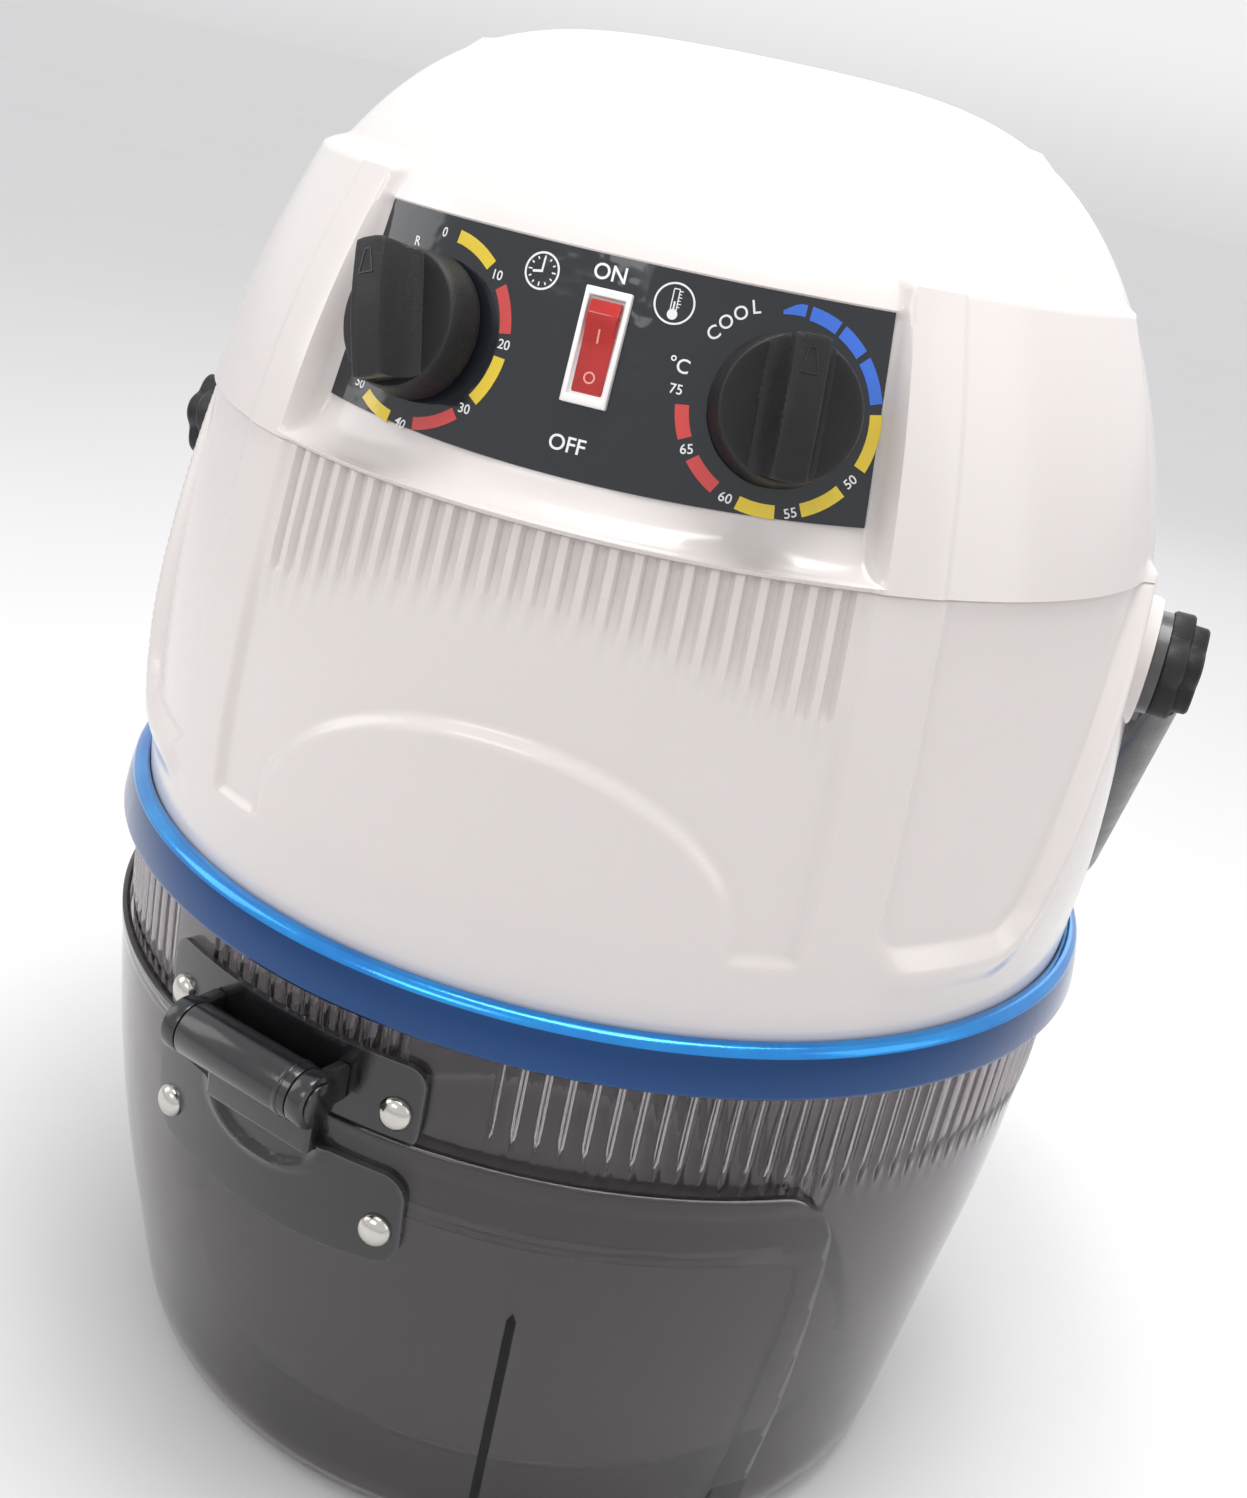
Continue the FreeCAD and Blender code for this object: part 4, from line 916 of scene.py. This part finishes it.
slot_black = finish_of("slot_bar_black", ((0.004, 0.004, 0.005), (0.007, 0.007, 0.008)), (0.3, 0.45),
                       patch=30.0, grain=340.0, depth=0.00004, Specular_IOR_Level=0.15)
slot_strip = bmesh.new()
bmesh.ops.create_grid(slot_strip, x_segments=2, y_segments=36, size=1)
for vert in slot_strip.verts:
    down = (1 - vert.co.y) / 2
    distance = SLOT_START + SLOT_LONG * down
    round_top = math.sqrt(max(0.0, 1 - (1 - min(1.0, down * SLOT_LONG / 1.3)) ** 2))
    radius, height = point_along(visor_side, distance)
    turn = math.radians(SLOT_ANGLE) + vert.co.x * round_top * 1.7 / radius
    lift = 0.35 if vert.co.x == 0 else 0.12
    vert.co = around(radius + lift, turn, height)
bmesh.ops.recalc_face_normals(slot_strip, faces=slot_strip.faces)
middle_face = slot_strip.faces[:][30]
if middle_face.normal.dot(Vector((*middle_face.calc_center_median().xy, 0))) < 0:
    bmesh.ops.reverse_faces(slot_strip, faces=slot_strip.faces)
slot_piece = make_piece("visor_slot_bar", slot_strip, on_hood, "visor", [slot_black])
wall_of(slot_piece, 0.0009)

# ------ visor hinge
# A friction hinge in glossy black nylon: a leaf screwed to the hood above, a leaf screwed to the
# visor below, and a fat barrel between them that holds the pin and its spring washers.

BARREL_REACH, BARREL_DEPTH = 201.0, -45.0
barrel_frame = Matrix.Translation((0, -BARREL_REACH, BARREL_DEPTH)) @ Matrix.Rotation(math.pi / 2, 4, "Y")


def knuckle(start, end, radius=9.5, edge=0.6):
    """One knuckle of the barrel, its ends eased."""
    return whole_turn([(0, start), (radius - edge, start), (radius - edge * 0.3, start + edge * 0.3),
                       (radius, start + edge), (radius, end - edge), (radius - edge * 0.3, end - edge * 0.3),
                       (radius - edge, end), (0, end)], 48)


def no_hollow(x, z):
    """A plain leaf."""
    return 0.0


def half_moon(x, z):
    """A half-moon let into the visor leaf under the barrel, with a raised lip round it."""
    out = math.hypot(x / 25, (z + 71) / 15)
    return 1.6 * (1 - rise(out, 0.84, 0.93)) - 0.9 * rise(out, 0.9, 1.0) * (1 - rise(out, 1.04, 1.18))


def leaf_plate(skin, top, bottom, half_angle, corner, thick, dip=0.0, hollow=no_hollow):
    """A curved plate with round corners, on a skin of that radius."""
    bm = bmesh.new()
    bmesh.ops.create_grid(bm, x_segments=60, y_segments=30, size=1)
    half_wide = half_angle * math.radians(1) * skin(0.5 * (top + bottom))
    half_tall = (top - bottom) / 2
    for vert in bm.verts:
        x, y = vert.co.x * half_wide, vert.co.y * half_tall
        over = (max(0.0, abs(x) - half_wide + corner), max(0.0, abs(y) - half_tall + corner))
        far = math.hypot(*over)
        if far > 0 and min(over) > 0:
            reach = max(over) / far
            x -= math.copysign(over[0] * (1 - reach), x)
            y -= math.copysign(over[1] * (1 - reach), y)
        z = (top + bottom) / 2 + y - dip * (1 - abs(x / half_wide) ** 2) * (1 - y / half_tall) / 2
        radius = skin(z) + thick - hollow(x, z)
        vert.co = around(radius, x / radius, z)
    bmesh.ops.recalc_face_normals(bm, faces=bm.faces)
    if bm.faces[:][200].normal.y > 0:
        bmesh.ops.reverse_faces(bm, faces=bm.faces)
    bmesh.ops.solidify(bm, geom=bm.faces[:], thickness=thick)
    bmesh.ops.recalc_face_normals(bm, faces=bm.faces)
    return bm


def block(size, middle, edge=1.2):
    """A web between leaf and knuckle, its edges rounded."""
    bm = bmesh.new()
    bmesh.ops.create_cube(bm, size=1)
    bmesh.ops.scale(bm, verts=bm.verts, vec=size)
    bmesh.ops.bevel(bm, geom=bm.edges[:], affect="EDGES", offset=edge, segments=3, profile=0.5, material=-1)
    bmesh.ops.translate(bm, verts=bm.verts, vec=middle)
    return bm


def upper_skin(height):
    """The radius that the hood's leaf lies on."""
    return 186.9


def lower_skin(height):
    """The radius that the visor's leaf lies on."""
    return point_along(visor_side, max(0.0, VISOR_TOP - height))[0] + 0.1


upper_leaf = leaf_plate(upper_skin, -29.5, -60, 17.6, 7, 2.2)
for start, end in ((-31, -25), (25, 31)):
    join_in(upper_leaf, knuckle(start, end, 9.5), barrel_frame)
    join_in(upper_leaf, block((5.4, 12, 13), ((start + end) / 2, -192.6, -43.5)))
join_in(upper_leaf, knuckle(31, 32, 7.0, 0.4), barrel_frame)
join_in(upper_leaf, knuckle(-32, -31, 7.0, 0.4), barrel_frame)
black_nylon = finish_of("black_hinge_nylon", ((0.006, 0.006, 0.007), (0.009, 0.009, 0.010)), (0.12, 0.26),
                        patch=26.0, grain=700.0, depth=0.00004, worn=(0.05, 0.05, 0.055), Coat_Weight=0.35,
                        Coat_Roughness=0.12)
make_piece("hinge_hood_leaf", upper_leaf, on_hood, "hood", [black_nylon],
           ["hinge_upper_bracket", "hinge_pin"], 40)

lower_leaf = leaf_plate(lower_skin, -70, -105, 17.6, 9, 2.3, 5.0, half_moon)
join_in(lower_leaf, knuckle(-24.6, 24.6, 9.5), barrel_frame)
join_in(lower_leaf, knuckle(19.6, 21.4, 9.9, 0.3), barrel_frame)
join_in(lower_leaf, block((47, 6, 26), (0, -191.6, -60), 2.0))
make_piece("hinge_visor_leaf", lower_leaf, on_hood, "visor", [black_nylon],
           ["hinge_lower_bracket"], 40)

# ------ hinge screws
# Four pan-head screws, nickel plated and polished, two in each leaf.

nickel = finish_of("bright_nickel_plate", ((0.60, 0.57, 0.53), (0.52, 0.50, 0.47)), (0.10, 0.24),
                   patch=90.0, grain=800.0, depth=0.00005, Metallic=1.0)
SCREW_ANGLE = 14.7
head_line = [(0, 4.0), (1.6, 3.88), (3.2, 3.45), (4.6, 2.7), (5.5, 1.7), (5.9, 0.8), (6.0, 0.0), (0, 0.0)]
for leaf, body, depth, reach in (("upper", "hood", 48.0, 189.0), ("lower", "visor", 92.8, 189.9)):
    heads = bmesh.new()
    for side in (-1, 1):
        place = Matrix.Rotation(math.radians(SCREW_ANGLE * side), 4, "Z")
        place = place @ Matrix.Translation((0, -reach, -depth)) @ Matrix.Rotation(math.pi / 2, 4, "X")
        join_in(heads, whole_turn(head_line, 40), place)
    make_piece(f"hinge_{leaf}_screw_heads", heads, on_hood, body, [nickel],
               [f"hinge_{leaf}_screws"])

# ------ hand knobs
# A five-lobed knob in the same black PBT as the dials, in two steps, on a stud at each side. It
# clamps the eye of the fork against the casing's pad, and so holds the tilt.

KNOB_LOBES = 5
for side, name in ((-1, "left"), (1, "right")):
    low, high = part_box(f"{name}_clamp_knob")
    centre = (low + high) / 2
    depth = (high.x - low.x) / MM
    knob = bmesh.new()
    bmesh.ops.create_circle(knob, cap_ends=True, segments=120, radius=1)
    for vert in knob.verts:
        angle = math.atan2(vert.co.x, vert.co.y)
        lobes = 0.5 + 0.5 * math.cos(KNOB_LOBES * angle)
        reach = 15.6 + 4.0 * lobes ** 0.8
        vert.co = (math.sin(angle) * reach, math.cos(angle) * reach, 0)
    level_faces = knob.faces[:]
    for rise_by, shrink in ((0.8, 1.035), (depth * 0.42, 1.0), (0.9, 0.965), (0.5, 0.86),
                            (depth * 0.32, 0.985), (0.9, 0.95), (0.35, 0.80), (-1.2, 0.90)):
        level_faces, moved = push_out(knob, level_faces, (0, 0, rise_by))
        bmesh.ops.scale(knob, verts=moved, vec=(shrink, shrink, 1))
    bmesh.ops.recalc_face_normals(knob, faces=knob.faces)
    tall = max(v.co.z for v in knob.verts)
    bmesh.ops.scale(knob, verts=knob.verts, vec=(1, 1, depth / tall))
    start = low.x if side > 0 else high.x
    place = Matrix.Translation((start, centre.y, centre.z)) @ Matrix.Scale(MM, 4)
    for axis in "YZ":
        place = place @ Matrix.Rotation(side * math.pi / 2, 4, axis)
    make_piece(f"{name}_hand_knob", knob, place, f"{name}_clamp", [black_pbt],
               [f"{name}_clamp_knob"], 32)

# ------ fork and stem
# Bent steel tube with flattened eyes, brazed to a boss and stove enamelled black. A turned steel
# stem drops into the stand, and the studs, the shafts and the casing screws are turned as well.


def dress(material, *names):
    """Gives solid parts that keep their own shape a finish."""
    for name in names:
        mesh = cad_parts[name].data
        mesh.materials.clear()
        mesh.materials.append(material)


dress(finish_of("black_stove_enamel", ((0.013, 0.013, 0.014), (0.018, 0.018, 0.019)), (0.26, 0.4),
                patch=18.0, grain=300.0, depth=0.00006, worn=(0.06, 0.06, 0.06), Coat_Weight=0.2),
      "fork_tube", "stem_boss", "cord_gland")
dress(finish_of("turned_steel", ((0.42, 0.42, 0.43), (0.36, 0.36, 0.37)), (0.22, 0.38), patch=30.0,
                grain=500.0, depth=0.00004, stretch=(1, 1, 12), Metallic=1.0),
      "stand_stem", "left_pivot_stud", "right_pivot_stud", "timer_shaft", "temperature_shaft",
      "motor_shaft", "casing_screws")

# ------ air bowl, shroud and baffle
# The bowl over the head is spun steel in pale enamel, drilled all over for the air. The shroud
# round the heater, the baffle above it and the motor's bridge are galvanised sheet.

dress(finish_of("pale_bowl_enamel", ((0.62, 0.62, 0.60), (0.56, 0.56, 0.54)), (0.3, 0.45), patch=10.0,
                grain=400.0, depth=0.00004),
      "air_bowl")
dress(finish_of("galvanised_sheet", ((0.44, 0.45, 0.46), (0.36, 0.37, 0.38)), (0.3, 0.5), patch=60.0,
                grain=200.0, depth=0.00004, Metallic=0.9),
      "heater_shroud", "baffle_plate", "motor_mount")

# ------ heater
# Resistance wire wound on crossed mica boards, with a thermal cut-out beside it. The cut-out, the
# two controls behind the dials and the terminal block are dark phenolic mouldings.

dress(finish_of("mica_board", ((0.50, 0.38, 0.20), (0.38, 0.27, 0.12)), (0.3, 0.5), patch=80.0,
                grain=600.0, depth=0.00008, stretch=(1, 1, 4)),
      "heater_former")
dress(finish_of("heater_wire", ((0.20, 0.17, 0.15), (0.13, 0.11, 0.10)), (0.4, 0.55), patch=90.0,
                grain=900.0, depth=0.00005, Metallic=0.9),
      "heater_coil")
dress(finish_of("control_case_phenolic", ((0.10, 0.075, 0.06), (0.075, 0.06, 0.05)), (0.35, 0.5),
                patch=50.0, grain=700.0, depth=0.00006),
      "timer_body", "temperature_body", "thermal_cutout", "terminal_block")

# ------ fan, motor and wiring
# A moulded nylon impeller on a plain steel-cased motor. A woven wire screen keeps lint out behind
# the inlets, and a sleeved lead runs from the terminal block to the motor.

dress(finish_of("motor_case_steel", ((0.30, 0.31, 0.33), (0.23, 0.24, 0.26)), (0.3, 0.45), patch=40.0,
                grain=400.0, depth=0.00005, Metallic=0.85),
      "motor")
dress(finish_of("fan_white_nylon", ((0.62, 0.60, 0.55), (0.56, 0.54, 0.49)), (0.35, 0.5), patch=40.0,
                grain=600.0, depth=0.00004),
      "fan_impeller")
dress(finish_of("filter_screen_mesh", ((0.08, 0.08, 0.08), (0.05, 0.05, 0.05)), (0.5, 0.65), patch=70.0,
                grain=900.0, depth=0.0002),
      "filter_screen")
dress(finish_of("lead_sleeve_pvc", ((0.03, 0.03, 0.032), (0.045, 0.045, 0.048)), (0.45, 0.6), patch=60.0,
                grain=900.0, depth=0.00006),
      "motor_lead")
